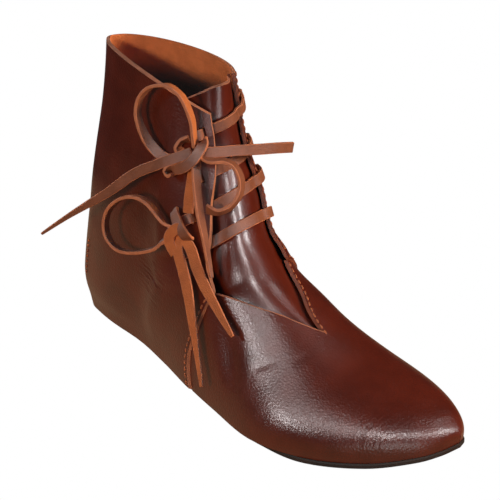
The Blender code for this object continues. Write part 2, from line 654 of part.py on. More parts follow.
def bar_rows(slit, forward):
    """Stations, turns and heights of one lace bar from its lateral slit to its medial slit."""
    place = dict(zip(SLIT_COLUMNS, slit))
    start, end = place["lateral_across"] - 1, 1 - place["medial_across"]
    flap = smooth_lookup(FLAP_EDGE, place["lateral_station"]) - 1
    sewn = 1 - smooth_lookup(SEWN_EDGE, place["medial_station"])
    run = slit_run(place["lateral_station"], start)
    places = [(start + share * run, height) for share, height in FLAP_PASS]
    on_tongue = np.linspace(flap + TONGUE_PASS, sewn - TONGUE_PASS, TONGUE_PASS_ROWS)
    places += [(turn, None) for turn in (flap + EDGE_PASS, *on_tongue)]
    places += [(sewn - EDGE_PASS, LACE_LIFT), (sewn + EDGE_PASS, LACE_CREST)]
    run = slit_run(place["medial_station"], end)
    places += [(end + share * run, height) for share, height in SEWN_PASS]
    turns = np.array([turn for turn, height in places])
    part = (turns - start) / (end - start)
    stations = place["lateral_station"] + (place["medial_station"] - place["lateral_station"]) * part
    lateral = tongue_turns(stations, np.zeros(len(turns)))
    medial = tongue_turns(stations, np.ones(len(turns)))
    under = tongue_depth(stations, (turns - lateral) / (medial - lateral))
    resting = LACE_THICKNESS / 2 + 3 * FIT_GAP - under
    heights = [rest if height is None else height for rest, (turn, height) in zip(resting, places)]
    rows = np.stack([stations, turns, np.array(heights)], -1)
    return rows if forward else rows[::-1]


def build_bars(name, first, second):
    """Two bars of one lace, joined inside the medial quarter."""
    out_rows, back_rows = bar_rows(first, True), bar_rows(second, False)
    middle = 0.5 * (out_rows[-1] + back_rows[0])
    turn = [(middle[0] + (near - middle[0]) * share, middle[1] + INNER_TURN * reach, -INNER_DEPTH)
            for near, share, reach in ((out_rows[-1][0], INNER_SHARE, INNER_REACH), (middle[0], 0.0, 1.0),
                                       (back_rows[0][0], INNER_SHARE, INNER_REACH))]
    rows = smooth_path(np.vstack([out_rows, turn, back_rows]), LACE_STEPS)
    points, out = last_frame(rows[:, 0], rows[:, 1])
    return strip_solid(name, points + out * rows[:, 2:], out, LACE_WIDTH, LACE_THICKNESS)


def knot_axes():
    """Directions along the shoe, up it and off its side in which a knot's sizes are measured."""
    out = CORD_SIDE / np.linalg.norm(CORD_SIDE)
    along = np.cross((0.0, 0.0, 1.0), out)
    along /= np.linalg.norm(along)
    return np.stack([along, np.cross(out, along), out])


def knot_root(knot, row):
    """Row that continues a strip straight on to the face of its knot."""
    centre, sizes = np.array(KNOTS[knot][0]), np.array(KNOTS[knot][1])
    away = np.array(row[:3]) - centre
    reach = 1 / np.linalg.norm(knot_axes() @ away / sizes) + KNOT_GAP / np.linalg.norm(away)
    return (*(centre + away * reach), row[3])


def cord_rows(name):
    """Rows of a free strip, with a row added at each end that leaves a knot."""
    rows = list(CORDS[name])
    knot = name.split("_")[0] + "_lace_knot"
    rows.insert(0, knot_root(knot, rows[0]))
    if name in CORDS_BACK_TO_KNOT:
        rows.append(knot_root(knot, rows[-1]))
    return rows


def build_cord(name):
    """One free strip of a lace."""
    rows = smooth_path(cord_rows(name), LACE_STEPS)
    path, twist = rows[:, :3], np.radians(rows[:, 3])
    run = np.gradient(path, axis=0)
    run /= np.linalg.norm(run, axis=1)[:, None]
    across = np.cross(CORD_SIDE, run)
    across /= np.linalg.norm(across, axis=1)[:, None]
    face = np.cross(run, across)
    out = face * np.cos(twist)[:, None] + across * np.sin(twist)[:, None]
    taper = CORD_TAPERS.get(name, 1.0)
    near_end = np.clip(np.linspace(-1, 1, len(path)), 0, 1)
    steps = np.arange(len(path))
    if name in CORDS_BACK_TO_KNOT:
        steps = np.minimum(steps, steps[::-1])
    gathered = np.clip(1 - steps / (GATHER_ROWS * LACE_STEPS), 0, 1)
    width = LACE_WIDTH * (1 + (taper - 1) * near_end) * (1 + (GATHER_WIDTH - 1) * gathered)
    return strip_solid(name, path, out, width, LACE_THICKNESS)


def build_knot(name):
    """Rounded lump of a tied knot."""
    centre, sizes = KNOTS[name]
    along, rise, out = knot_axes()
    points = [np.array(centre) - out * sizes[2]]
    for ring in range(1, KNOT_RINGS):
        tilt = np.pi * ring / KNOT_RINGS
        for spoke in range(KNOT_SPOKES):
            turn = 2 * np.pi * spoke / KNOT_SPOKES
            points.append(centre + along * sizes[0] * np.sin(tilt) * np.cos(turn)
                          + rise * sizes[1] * np.sin(tilt) * np.sin(turn) - out * sizes[2] * np.cos(tilt))
    points.append(np.array(centre) + out * sizes[2])
    top = len(points) - 1
    faces = []
    for spoke in range(KNOT_SPOKES):
        following = (spoke + 1) % KNOT_SPOKES
        faces.append([0, 1 + following, 1 + spoke])
        base = 1 + (KNOT_RINGS - 2) * KNOT_SPOKES
        faces.append([top, base + spoke, base + following])
        for ring in range(KNOT_RINGS - 2):
            low, high = 1 + ring * KNOT_SPOKES, 1 + (ring + 1) * KNOT_SPOKES
            faces.append([low + spoke, low + following, high + following, high + spoke])
    return make_object(name, np.array(points), faces, COLOURS["lace"])


def build_slit_cutters():
    """Boxes that open the lace slits in the quarter."""
    points, faces = [], []
    for slit in SLITS:
        place = dict(zip(SLIT_COLUMNS, slit))
        start, end = place["lateral_across"] - 1, 1 - place["medial_across"]
        slant = (place["medial_station"] - place["lateral_station"]) / (end - start)
        for station, turn in ((place["lateral_station"], start), (place["medial_station"], end)):
            centre, out = last_frame(station, turn)
            step = SLIT_STEP
            ahead = (last_frame(station + slant * step, turn + step)[0]
                     - last_frame(station - slant * step, turn - step)[0])
            across = np.cross(ahead[0], out[0])
            across /= np.linalg.norm(across)
            ahead = np.cross(out[0], across)
            base = len(points)
            for deep in (-0.5, 0.5):
                for long, wide in ((-0.5, -0.5), (0.5, -0.5), (0.5, 0.5), (-0.5, 0.5)):
                    points.append(centre[0] + out[0] * (SLIT_DEPTH * deep - WALL / 2)
                                  + across * SLIT_LENGTH * long + ahead * SLIT_WIDTH * wide)
            faces += [[base + corner for corner in corners] for corners in BOX_FACES]
    cutter = make_object("slit_cutters", np.array(points), faces, COLOURS["upper"])
    cutter.hide_render = True
    cutter.display_type = "WIRE"
    return cutter


def build_shoe():
    """All pieces of the shoe."""
    for old in list(bpy.data.objects):
        bpy.data.objects.remove(old, do_unlink=True)
    build_plate("outsole", OUTSOLE_MARGINS, 0.0, SOLE_THICKNESS, COLOURS["outsole"])
    build_plate("insole", INSOLE_MARGINS, SOLE_THICKNESS + FIT_GAP, INSOLE_THICKNESS, COLOURS["insole"])
    upper = build_upper()
    cut = upper.modifiers.new("lace slits", "BOOLEAN")
    cut.operation = "DIFFERENCE"
    cut.solver = "EXACT"
    cut.object = build_slit_cutters()
    build_tongue()
    build_bars("upper_lace_bars", SLITS[0], SLITS[1])
    build_bars("lower_lace_bars", SLITS[2], SLITS[3])
    for name in KNOTS:
        build_knot(name)
    for name in CORDS:
        build_cord(name)


build_shoe()
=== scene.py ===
"""Looks of a right ankle shoe: leather upper and tongue, dark sole, tied leather laces, studio light.

Tables are in millimetres in the last's own frame: toe to +X, medial side to +Y, lateral side to -Y
and +Z up. Meshes are in metres in the shared frame.
"""

import math

import bpy
import numpy as np
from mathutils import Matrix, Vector


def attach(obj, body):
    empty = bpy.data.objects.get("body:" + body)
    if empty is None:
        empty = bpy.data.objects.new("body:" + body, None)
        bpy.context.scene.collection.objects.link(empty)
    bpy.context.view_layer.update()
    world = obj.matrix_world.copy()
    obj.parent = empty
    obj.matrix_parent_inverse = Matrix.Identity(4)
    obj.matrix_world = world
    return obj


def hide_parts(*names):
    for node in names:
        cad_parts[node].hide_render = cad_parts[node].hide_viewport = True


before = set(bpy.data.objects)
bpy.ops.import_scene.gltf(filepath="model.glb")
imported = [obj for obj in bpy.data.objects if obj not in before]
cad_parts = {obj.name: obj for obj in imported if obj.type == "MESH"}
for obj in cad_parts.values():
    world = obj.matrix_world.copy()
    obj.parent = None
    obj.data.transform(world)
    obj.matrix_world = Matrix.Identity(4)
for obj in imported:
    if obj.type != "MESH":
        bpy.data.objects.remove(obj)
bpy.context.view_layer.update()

MILLIMETRE = 0.001
CENTRING = np.array((0.54, 7.2, 0.0))

# Leather, sole and lace sizes
WALL = 2.0
SEAM_STEP = 1.3
SEAM_FALL = 0.25
SEAM_FADE = 0.12
SEAM_LAP = 0.02
SEAM_TUCK = 0.22
TUCK_FADE = (1.0, 0.85)
SEAM_SINK = 2.3
TONGUE_THICKNESS = 1.6
SOLE_THICKNESS = 3.0
SOLE_ROUND = 0.7
INSOLE_THICKNESS = 2.0
FIT_GAP = 0.3
LACE_WIDTH = 6.0
LACE_THICKNESS = 1.9
LACE_BEVEL = 0.35
BEVEL_SHARE = 0.5
LACE_CLEARANCE = 3 * FIT_GAP
SLIT_LENGTH = 7.4
SLIT_WIDTH = 3.6
SLIT_DEPTH = 9.0

# Mesh density: control rows of the quarter as in the solids, then finer steps between them
FLAP_ROWS = 15
SEAM_ROWS = 10
QUARTER_COLUMNS = 15
FRONT_CROWDING = 1.25
QUARTER_STEPS = 5
VAMP_ROWS = 90
VAMP_SEAM_COLUMNS = 40
VAMP_THROAT_COLUMNS = 34
LINE_POINTS = 200
TONGUE_ROWS = 130
TONGUE_COLUMNS = 44
SOLE_ROWS = 150
LACE_STEPS = 8
FRAME_STEP = 0.002
SLIT_STEP = 0.01
LEAST_LENGTH = 1.0e-9
WELD_DIGITS = 4

LATERAL = -1
MEDIAL = 1
SIDE_NAMES = {LATERAL: "lateral", MEDIAL: "medial"}

# Sections of the last, from the collar over the heel to the toe. Each section is a flat curve
# from a point at the back or on the sole edge up to a point on the front ridge.
SECTION_COLUMNS = (
    "back_x", "back_z", "front_x", "front_z", "back_y", "front_y", "edge_lateral", "edge_medial",
    "wall_lateral", "wall_medial", "wall_rise", "crown_lateral", "crown_medial")
SECTIONS = (
    (-117, 174, -30, 170, 5, 9, 0, 0, 15, 24, 0, 30, 36),
    (-121, 136, -26, 143, 5, 8, 0, 0, 20, 27, 0, 38, 44),
    (-127, 98, -21, 126, 5, 6, 0, 0, 25, 29, 0, 43, 53),
    (-132, 57, -15, 113, 5, 4, 0, 0, 29, 30, 0, 46, 64),
    (-136, 24, -10, 104, 5, 2, 0, 0, 31, 30, 0, 47, 70),
    (-135, 0.6, -6, 97, 5, 0, 0, 0, 27, 28, 0, 47, 70),
    (-132, 0.6, -3, 93, 5, -1, 5, 8, 29, 28, 0.04, 46, 68),
    (-125, 0.6, 1, 87, 5, -2, 10, 16, 32, 29, 0.12, 45, 64),
    (-105, 0.6, 8, 79, 4, -2, 15, 23, 36, 30, 0.28, 43, 58),
    (-73, 0.6, 18, 69, 3, -3, 20, 27, 38, 32, 0.42, 41, 52),
    (-33, 0.6, 33, 59, 1, -3, 31, 30, 43, 35, 0.50, 39, 50),
    (7, 1.2, 51, 49, 0, -1, 43, 34, 52, 39, 0.55, 39, 41),
    (47, 3.3, 73, 39, 0, 4, 55, 40, 58, 44, 0.62, 41, 29),
    (81, 3.6, 98, 32.5, 2, 8, 51, 37, 54, 40, 0.69, 37, 20),
    (109, 5.3, 115, 29, 5, 9, 39, 26, 41, 28, 0.72, 29, 16),
    (127, 7.8, 128, 25, 7, 9, 23, 15, 25, 17, 0.72, 17, 11),
    (135, 9.8, 136, 20, 8, 9, 11, 8, 12, 9, 0.70, 7, 5),
    (138, 10.8, 139, 15, 9, 9, 0, 0, 0, 0, 0.70, 0, 0),
)
HEEL_STATION = 5.0
TOE_STATION = len(SECTIONS) - 1.0

# Edge of the outsole and of the insole past the upper's lower edge: place along the shoe, margin
OUTSOLE_MARGINS = ((-140.0, -3.2), (-60.0, -2.8), (4.0, -2.8), (48.0, -3.0), (80.0, 0.8), (140.0, 0.8))
INSOLE_MARGINS = ((-140.0, -3.0), (4.0, -3.8), (140.0, -3.8))

# Free front edges of the quarter: station along the last, share of the way across to the ridge
FRONT_EDGES = {
    LATERAL: ((0.63, 0.884), (1.24, 0.903), (1.87, 0.9), (3.28, 0.853), (5.11, 0.822), (7.61, 0.741),
              (8.41, 0.691)),
    MEDIAL: ((0.0, 0.88), (1.14, 0.88), (2.46, 0.89), (3.45, 0.876), (4.86, 0.878), (6.64, 0.865),
             (8.4, 0.872)),
}

# Rear edge of the vamp round the throat: share across, station
THROAT_EDGES = {
    LATERAL: ((0.691, 8.41), (0.745, 8.85), (0.815, 9.44), (0.89, 9.98), (0.946, 10.5), (1.0, 10.97)),
    MEDIAL: ((0.872, 8.4), (0.888, 9.05), (0.919, 9.66), (0.957, 10.14), (0.985, 10.64), (1.0, 10.97)),
}

# Side seam: share of the seam's length from the sole edge, station
SIDE_SEAM = ((0.0, 10.42), (0.07, 10.28), (0.37, 9.70), (0.67, 9.20), (0.85, 8.80), (1.0, 8.41))
COLLAR_DROP = {LATERAL: 0.63, MEDIAL: 0.0}
COLLAR_CURVE = 2.2
FLAP_SHARE = 0.62

# Swell of the heel off the straight pattern, and the shares between which it rises down the back,
# ends at the sole and ends towards the front
HEEL_SWELL = 4.4
HEEL_MIDDLE = np.array((-95.0, 5.0))
SWELL_RISE = (0.0, 0.75)
SWELL_FOOT = (1.0, 0.88)
SWELL_FRONT = (0.8, 0.4)

# How closely the relaxed quarter keeps to its pattern: shares between which the hold rises to full
FRONT_HOLD = (0.52, 0.80)
BACK_HOLD = (0.40, 0.12)
SOLE_HOLD = (0.84, 1.0)
HOLD_FULL = 40.0
HOLD_LEAST = 0.0004
HOLD_BORDER = 1.0e6

# Tongue: hidden margins, depth under the upper's outer face at its two edges, and stations between
# which it narrows to its tip or still is near its top
TONGUE_TOP = 0.12
TONGUE_TIP = 11.17
TONGUE_MARGIN_LATERAL = 0.10
TONGUE_MARGIN_TOP = 0.12
TONGUE_MARGIN_MEDIAL = 0.06
TONGUE_TIP_MARGIN = 0.03
TONGUE_DEPTH_LATERAL = 7.0
TONGUE_DEPTH_MEDIAL = 2.9
TONGUE_DEPTH_TIP = 3.3
TONGUE_BULGE = 2.4
BULGE_RISE = (0.0, 0.5)
BULGE_FALL = (1.05, 0.65)
TONGUE_TOP_FALL = 2.2
TONGUE_TOP_CURVE = 1.5
NEAR_TIP = ((8.5, TONGUE_TIP), (0.0, 1.0))
NEAR_TOP = ((0.0, 2.0), (1.0, 0.0))

# Lace slits: station and turn from the ridge on the lateral side, then on the medial side
SLITS = (
    ((1.0, -0.165), (0.6, 0.23)),
    ((2.21, -0.185), (1.75, 0.23)),
    ((3.53, -0.235), (2.85, 0.235)),
    ((5.3, -0.27), (5.1, 0.24)),
)
SLIT_RUN = 4.6
LACE_LIFT = 1.4
LACE_CREST = 1.9
EDGE_PASS = 0.02
TONGUE_PASS = 0.05
TONGUE_PASS_ROWS = 6
INNER_TURN = 0.045
INNER_DEPTH = 5.4
INNER_SHARE = 0.8
INNER_REACH = 0.75

# A lace through a slit: share of the slit's run along the bar, height of the lace off the last
FLAP_PASS = ((-1.0, 1.4), (-0.3, 1.2), (0.3, -4.0), (1.0, -4.4))
SEWN_PASS = ((-0.8, 1.4), (-0.3, 1.2), (0.3, -4.0), (0.9, -4.0))

# Free lace strips: x, y, z and twist of the strip about its own run, in degrees
CORD_SIDE = np.array((0.25, -0.93, 0.27))
CORDS = {
    "upper_lace_loop_rear": (
        (-32.0, -14.8, 145, 80), (-32.5, -15.3, 153, 85), (-34.5, -16.5, 160.5, 90), (-38.5, -17.5, 167, 90),
        (-45.5, -19, 170.8, 90), (-53, -19.5, 169.3, 90), (-60.5, -20, 165.5, 90), (-66.5, -21, 157.5, 90),
        (-67.3, -22, 147.5, 90), (-61, -22, 136, 65), (-52.5, -19.2, 127.8, 15), (-43.5, -17.5, 127.5, 5)),
    "upper_lace_loop_front": (
        (-20.5, -13.5, 133, 70), (-15.5, -8.5, 132.6, 80), (-11, -6, 130.5, 90), (-7.3, -5, 125.8, 90),
        (-5, -6, 119.8, 90), (-4.8, -8.8, 114.2, 90), (-7.5, -12.8, 108.7, 80), (-12, -17, 106, 60),
        (-18.8, -19.2, 106.6, 20)),
    "upper_lace_end_rear": (
        (-41, -22.5, 130.4, 0), (-50, -25.2, 125.2, 0), (-66.5, -26, 114.8, 0), (-84, -30, 99.3, 10),
        (-98, -34, 88, 20), (-113, -36, 76, 20), (-132, -38, 60, 20)),
    "upper_lace_end_front": (
        (-22.2, -10.8, 136.4, 0), (-15, 1.5, 135.6, 0), (-10, 14, 133.6, 0), (-7, 25, 131.6, 0),
        (-6, 36, 128.6, 0)),
    "upper_lace_tail_short": (
        (-31, -16.6, 124, 180), (-30.7, -18.7, 117, 180), (-29.8, -21.2, 109.8, 180),
        (-28.4, -23.6, 102.4, 180)),
    "upper_lace_tail_long": (
        (-25.8, -19.5, 124.8, 70), (-23, -22, 116.2, 80), (-17.8, -25, 104.4, 80), (-12.8, -26.5, 91.2, 80),
        (-8.8, -28, 79.7, 70), (-6.2, -29, 72.7, 60)),
    "lower_lace_loop": (
        (-40.5, -30.7, 94.8, 70), (-45.5, -30.7, 98.8, 85), (-52.5, -30.5, 103, 90), (-61.5, -31, 104, 90),
        (-73, -31.2, 99, 90), (-82.5, -31.5, 89.3, 90), (-84.8, -32.5, 79.7, 90), (-81.5, -33.5, 72.3, 90),
        (-72, -34.5, 69, 90), (-59.5, -34.7, 71.7, 90), (-45, -34.5, 78.8, 80), (-39.8, -32.2, 84.4, 70)),
    "lower_lace_end_rear": (
        (-28.4, -32, 82.6, 190), (-22.7, -34, 72.5, 190), (-17.3, -36.5, 64.2, 190), (-10.2, -40.4, 49, 190),
        (-4.4, -43.2, 34.2, 190), (6.4, -50.7, 18.4, 190)),
    "lower_lace_end_front": (
        (-23, -28, 84.8, 200), (-15.4, -30.8, 76, 200), (-7, -33.2, 68.2, 200), (3.4, -35, 59.2, 200),
        (13.6, -38, 53.2, 200), (18.8, -39.2, 49.8, 200)),
}
CORDS_BACK_TO_KNOT = ("upper_lace_loop_rear", "lower_lace_loop")
CORD_TAPERS = {
    "upper_lace_end_rear": 0.25, "upper_lace_tail_long": 0.3, "lower_lace_end_rear": 0.35,
    "lower_lace_end_front": 0.3}

# Material slots of a leather wall or strip: grain side, flesh side, cut edge
OUTER = 0
INNER = 1
RIM = 2
SEWN_RIM = 3

# Upper's wall: lap over the vamp, cut edges, sharp shading
SEAM_THINNING = 0.2
VAMP_SKIVE = 0.5
EDGE_SLANT = 0.9
EDGE_ROWS = 4
THROAT_EDGE_SIZE = 0.75
THROAT_EDGE_LIFT = -0.15
SHARP_ANGLE = 38.0

# Box of size one round its middle: corners as shares of its depth, length and width, and faces
BOX_CORNERS = ((-0.5, -0.5, -0.5), (-0.5, 0.5, -0.5), (-0.5, 0.5, 0.5), (-0.5, -0.5, 0.5),
               (0.5, -0.5, -0.5), (0.5, 0.5, -0.5), (0.5, 0.5, 0.5), (0.5, -0.5, 0.5))
BOX_FACES = ((0, 3, 2, 1), (4, 5, 6, 7), (0, 1, 5, 4), (1, 2, 6, 5), (2, 3, 7, 6), (3, 0, 4, 7))

# Stitches: pitch, distance from the leather's edge, half sizes along, across and off the leather
STITCH_PITCH = 4.0
STITCH_INSET = 3.0
STITCH_LIFT = 0.05
STITCH_SIZES = (1.5, 0.6, 0.5)
HEEL_STITCH = (-128.3, -8.3, 35.0)
HEEL_STITCH_RISE = (22.0, 48.0)
HEEL_STITCH_PITCH = 3.6
HEEL_STITCH_SIZES = (1.2, 0.6, 0.7)
BEAD_RINGS = 5
BEAD_SPOKES = 8

# Creases: depth, half width and the points they run through
CREASE_STEPS = 6
CREASES = (
    (0.9, 1.5, ((34, -40, 35.5), (38.5, -37, 38.7), (44, -32.5, 41.3))),
    (0.5, 1.2, ((54, -28.5, 40.8), (53.8, -24, 43), (55.5, -18.5, 44.2))),
    (0.35, 1.4, ((99.9, -35.9, 19.4), (108.1, -31, 18.4), (114.4, -24.1, 19.5), (120.6, -14, 20.5))),
    (0.5, 6, ((-74.5, -25.8, 60.2), (-64.8, -25.9, 56), (-47.8, -28.9, 57.8), (-37.5, -30.1, 56.2))),
    (0.4, 5, ((-80.6, -24.6, 67.3), (-69.3, -26.2, 64.5), (-57, -29.3, 48.6))),
    (1.6, 7, ((5, -31, 52), (12.8, -36, 39.6), (19, -40.7, 30.5), (25, -46, 20))),
)

# Leather: dark and light tone of the grain side, and detail of the mottling, the pores and the folds
GRAIN_TONES = ((0.066, 0.0058, 0.0009), (0.108, 0.0102, 0.0019))
MOTTLE_DETAIL = 5.0
MOTTLE_ROUGHNESS = 0.6
MOTTLE_RANGE = (0.3, 0.7)
FINE_DETAIL = 3.0
FINE_PER_PORE = 2.0
FOLD_DETAIL = 2.0

# Sockets of the node that mixes two colours
MIX_SHARE = 0
MIX_FIRST = 6
MIX_SECOND = 7
MIX_COLOUR = 2

# Fine wrinkles of the toe's and the heel's outer side: middle, reach, height, turn in degrees
# and the size of one fold
WRINKLES = (
    ((111, -29, 20.5), 17, 11, (0, 0, 0), (2.2, 9, 9)),
    ((-58, -29, 54), 23, 11, (0, 10, 0), (13, 13, 2.4)),
)

# Painted shade inside the shoe, darker with depth: heights where it is full and where it has gone, and its
# colour
PAINTED_SHADE_HEIGHTS = (146.0, 161.0)
PAINTED_SHADE_TINT = (0.018, 0.004, 0.001)

# Knots: the band that wraps the strips, as x, y, z and twist
END_REACH = 0.08
LOOP_REACH = 0.35
LOOP_TUCK = 2.8
KNOT_CENTRES = {"upper_lace": (-31.2, -16.2, 135.5), "lower_lace": (-31.5, -28.5, 91.5)}
KNOT_WRAPS = {
    "upper_lace": (
        ((-29.5, -9.5, 140.5, 0), (-27.2, -12.5, 140.2, 0), (-26.5, -16.5, 137.2, 0),
         (-28.5, -20, 132.2, 0), (-32.8, -21.8, 128, 0), (-38, -21.8, 125.2, 10),
         (-42.5, -22.6, 124.8, 60), (-44.6, -23.4, 122.4, 90), (-42.8, -23, 120.2, 90),
         (-40.4, -22.4, 121.8, 90)),
        ((-36.5, -13.8, 140.8, 50), (-39.4, -16, 139.8, 80), (-41.4, -18, 135.8, 90),
         (-39.5, -17, 133.2, 60))),
    "lower_lace": (
        ((-38, -24.5, 101, 0), (-34, -28, 100.2, 0), (-29, -30.5, 97, 0), (-25.5, -30, 92.5, 0),
         (-25, -26.5, 88.5, 0)),
        ((-27.5, -28.5, 95.8, 190), (-30, -31.8, 95.4, 190), (-33.2, -33.2, 91, 200),
         (-33.2, -33.4, 86, 190), (-29.5, -32.8, 80.5, 190))),
}
KNOT_CORD = "_end_rear"
SHORT_TAIL = "upper_lace_tail_short"
TAIL_CORD = "upper_lace_tail_long"

# Camera: the photograph's angle in degrees, distance in metres, and millimetres of target and lens
AZIMUTH = -47.4
ELEVATION = 28.0
CAMERA_DISTANCE = 1.3
CAMERA_TARGET = np.array((0.0, 0.0, 60.0))
SENSOR = 36.0
LENS = 169.6
SHIFT = (-0.012, 0.067)

# Lights: azimuth and elevation in degrees, distance, width and height in metres, power in watts,
# whether the light shines on the shoe, and whether it is mirrored in the leather
LIGHTS = (
    ("side_lamp", -78, 21, 1.4, 0.2, 0.2, 9.5, True, False),
    ("front_lamp", 36, 18, 1.4, 0.5, 0.4, 27, True, False),
    ("rear_lamp", 175, 18, 1.5, 0.5, 0.6, 7, True, True),
    ("left_softbox", -111, 31, 1.5, 0.3, 0.28, 15, False, True),
    ("left_panel", -127, 42, 1.5, 0.3, 0.3, 1, False, True),
    ("high_softbox", -96, 54, 1.4, 0.7, 0.26, 6.5, False, True),
    ("overhead_rear", -127, 72, 1.4, 0.3, 0.25, 1.2, False, True),
    ("overhead_side", -66, 67, 1.4, 0.32, 0.26, 4, False, True),
    ("front_softbox", -39, 40, 1.4, 0.3, 0.3, 14, False, True),
    ("toe_softbox", 18, 31, 1.4, 0.22, 0.22, 13, False, True),
    ("tongue_strip", -10, 29, 1.4, 0.4, 0.24, 6, False, True),
    ("low_softbox", -36, -8, 1.4, 0.64, 0.13, 5.4, False, True),
    ("right_softbox", 50, 52, 1.4, 0.25, 0.16, 2, False, True),
)
WORLD_STRENGTH = 0.03
FLOOR_SIZE = 12.0
FLOOR_DEPTH = 0.2
FLOOR_GLOW = 1.0
CARD_SIZE = (0.62, 0.42)
CARD_DEPTH = 0.1
CARD_GLOW = 0.43
CARD_TINT = (1.0, 0.66, 0.39)
WALL_RADIUS = 5.5
WALL_HEIGHT = 6.0
WALL_SIDES = 48


def blend(start, end, share):
    """Value at a share of the way from start to end."""
    return start + (end - start) * share


def soft_step(low, high, values):
    """Smooth rise from 0 to 1 between two values."""
    part = np.clip((values - low) / (high - low), 0, 1)
    return part * part * (3 - 2 * part)


def unit(vectors):
    """Directions of length one along the given vectors."""
    return vectors / np.linalg.norm(vectors, axis=-1, keepdims=True)


def run_lengths(points):
    """Length along a line up to each point."""
    return np.concatenate([[0], np.cumsum(np.linalg.norm(np.diff(points, axis=0), axis=1))])


def resample(values, lengths, places):
    """Values along a line at the given lengths."""
    return np.stack([np.interp(places, lengths, column) for column in values.T], -1)


def smooth_lookup(rows, places):
    """Value of a two-column table at each place, on a smooth curve without overshoot."""
    keys, values = np.array(rows).T
    gaps = np.diff(keys)
    rises = np.diff(values) / gaps
    before, after = rises[:-1], rises[1:]
    total = before + after
    inner = np.where(before * after > 0, 2 * before * after / np.where(total == 0, 1, total), 0.0)
    slopes = np.concatenate([rises[:1], inner, rises[-1:]])
    places = np.clip(places, keys[0], keys[-1])
    cell = np.clip(np.searchsorted(keys, places, side="right") - 1, 0, len(gaps) - 1)
    part = (places - keys[cell]) / gaps[cell]
    bend = part * (1 - part) ** 2 * slopes[cell] + part ** 2 * (part - 1) * slopes[cell + 1]
    return blend(values[cell], values[cell + 1], soft_step(0, 1, part)) + gaps[cell] * bend


def spline_rows(rows, places):
    """Smooth curve through the rows of a table, at places counted in rows."""
    table = np.array(rows)
    last = len(table) - 1
    cell = np.clip(np.floor(places).astype(int), 0, last - 1)
    part = (places - cell).reshape(-1, *[1] * (table.ndim - 1))
    before, start = table[np.clip(cell - 1, 0, last)], table[cell]
    end, after = table[cell + 1], table[np.clip(cell + 2, 0, last)]
    return 0.5 * (2 * start + (end - before) * part + (2 * before - 5 * start + 4 * end - after) * part ** 2
                  + (3 * start - before - 3 * end + after) * part ** 3)


def smooth_path(rows, steps):
    """Smooth curve through every row, with even steps between rows."""
    last = len(rows) - 1
    return spline_rows(rows, np.linspace(0, last, last * steps + 1))


def section_at(stations):
    """Named section sizes at each station along the last."""
    section = dict(zip(SECTION_COLUMNS, spline_rows(SECTIONS, stations).T))
    for name in SIDE_NAMES.values():
        section["edge_" + name] = np.maximum(section["edge_" + name], 0.0)
    section["back_z"] = np.maximum(section["back_z"], SECTIONS[int(HEEL_STATION)][1])
    return section


def last_point(stations, across, side):
    """Points on the last: across is 0 at the back or sole edge and 1 on the front ridge."""
    section = section_at(stations)
    name = SIDE_NAMES[side]
    foot, shoulder = (1 - across) ** 3, 3 * (1 - across) ** 2 * across
    crown, ridge = 3 * (1 - across) * across ** 2, across ** 3
    y = (foot * (section["back_y"] + side * section["edge_" + name])
         + shoulder * (section["back_y"] + side * section["wall_" + name])
         + crown * (section["front_y"] + side * section["crown_" + name]) + ridge * section["front_y"])
    rise = shoulder * section["wall_rise"] + crown + ridge
    x = blend(section["back_x"], section["front_x"], rise)
    z = blend(section["back_z"], section["front_z"], rise)
    return np.stack([x, y, z], -1)


def last_frame(stations, turns):
    """Point and outward direction on the last; turn is below 0 on the lateral side, 0 on the ridge."""
    stations, turns = np.atleast_1d(stations, turns)

    def point(station, turn):
        lateral, medial = (last_point(station, 1 - np.abs(turn), side) for side in SIDE_NAMES)
        return np.where((turn < 0)[:, None], lateral, medial)

    along = point(stations + FRAME_STEP, turns) - point(np.maximum(stations - FRAME_STEP, 0), turns)
    around = point(stations, turns + FRAME_STEP) - point(stations, turns - FRAME_STEP)
    return point(stations, turns), unit(np.cross(along, around))


def even_places(stations, across, side, shares):
    """Places on the last at even shares of the length of a line."""
    lengths = run_lengths(last_point(stations, across, side))
    return resample(np.stack([stations, across], -1), lengths, shares * lengths[-1])


def quarter_borders(side, falls, shares):
    """Places of the quarter's top, bottom, back and front borders."""
    fine = np.linspace(0, 1, LINE_POINTS)
    edge = FRONT_EDGES[side]
    top = even_places(COLLAR_DROP[side] * fine ** COLLAR_CURVE, fine * edge[0][1], side, shares)
    bottom = even_places(blend(HEEL_STATION, SIDE_SEAM[0][1], fine ** 2), 0 * fine, side, shares)
    back = even_places(HEEL_STATION * fine, 0 * fine, side, falls)
    stations = blend(edge[0][0], edge[-1][0], fine)
    above = np.arange(len(falls)) < FLAP_ROWS
    flap = even_places(stations, smooth_lookup(edge, stations), side, falls[above] / FLAP_SHARE)
    seam = (1 - falls[~above]) / (1 - FLAP_SHARE)
    corner = THROAT_EDGES[side][0][0]
    front = np.vstack([flap, np.stack([smooth_lookup(SIDE_SEAM, seam), seam * corner], -1)])
    return top, bottom, back, front


def fill_patch(top, bottom, back, front, falls, shares):
    """Values inside a four-sided patch from the values on its borders."""
    fall, share = falls[:, None, None], shares[None, :, None]
    sides = blend(top[None], bottom[None], fall) + blend(back[:, None], front[:, None], share)
    return sides - blend(blend(top[0], top[-1], share), blend(bottom[0], bottom[-1], share), fall)


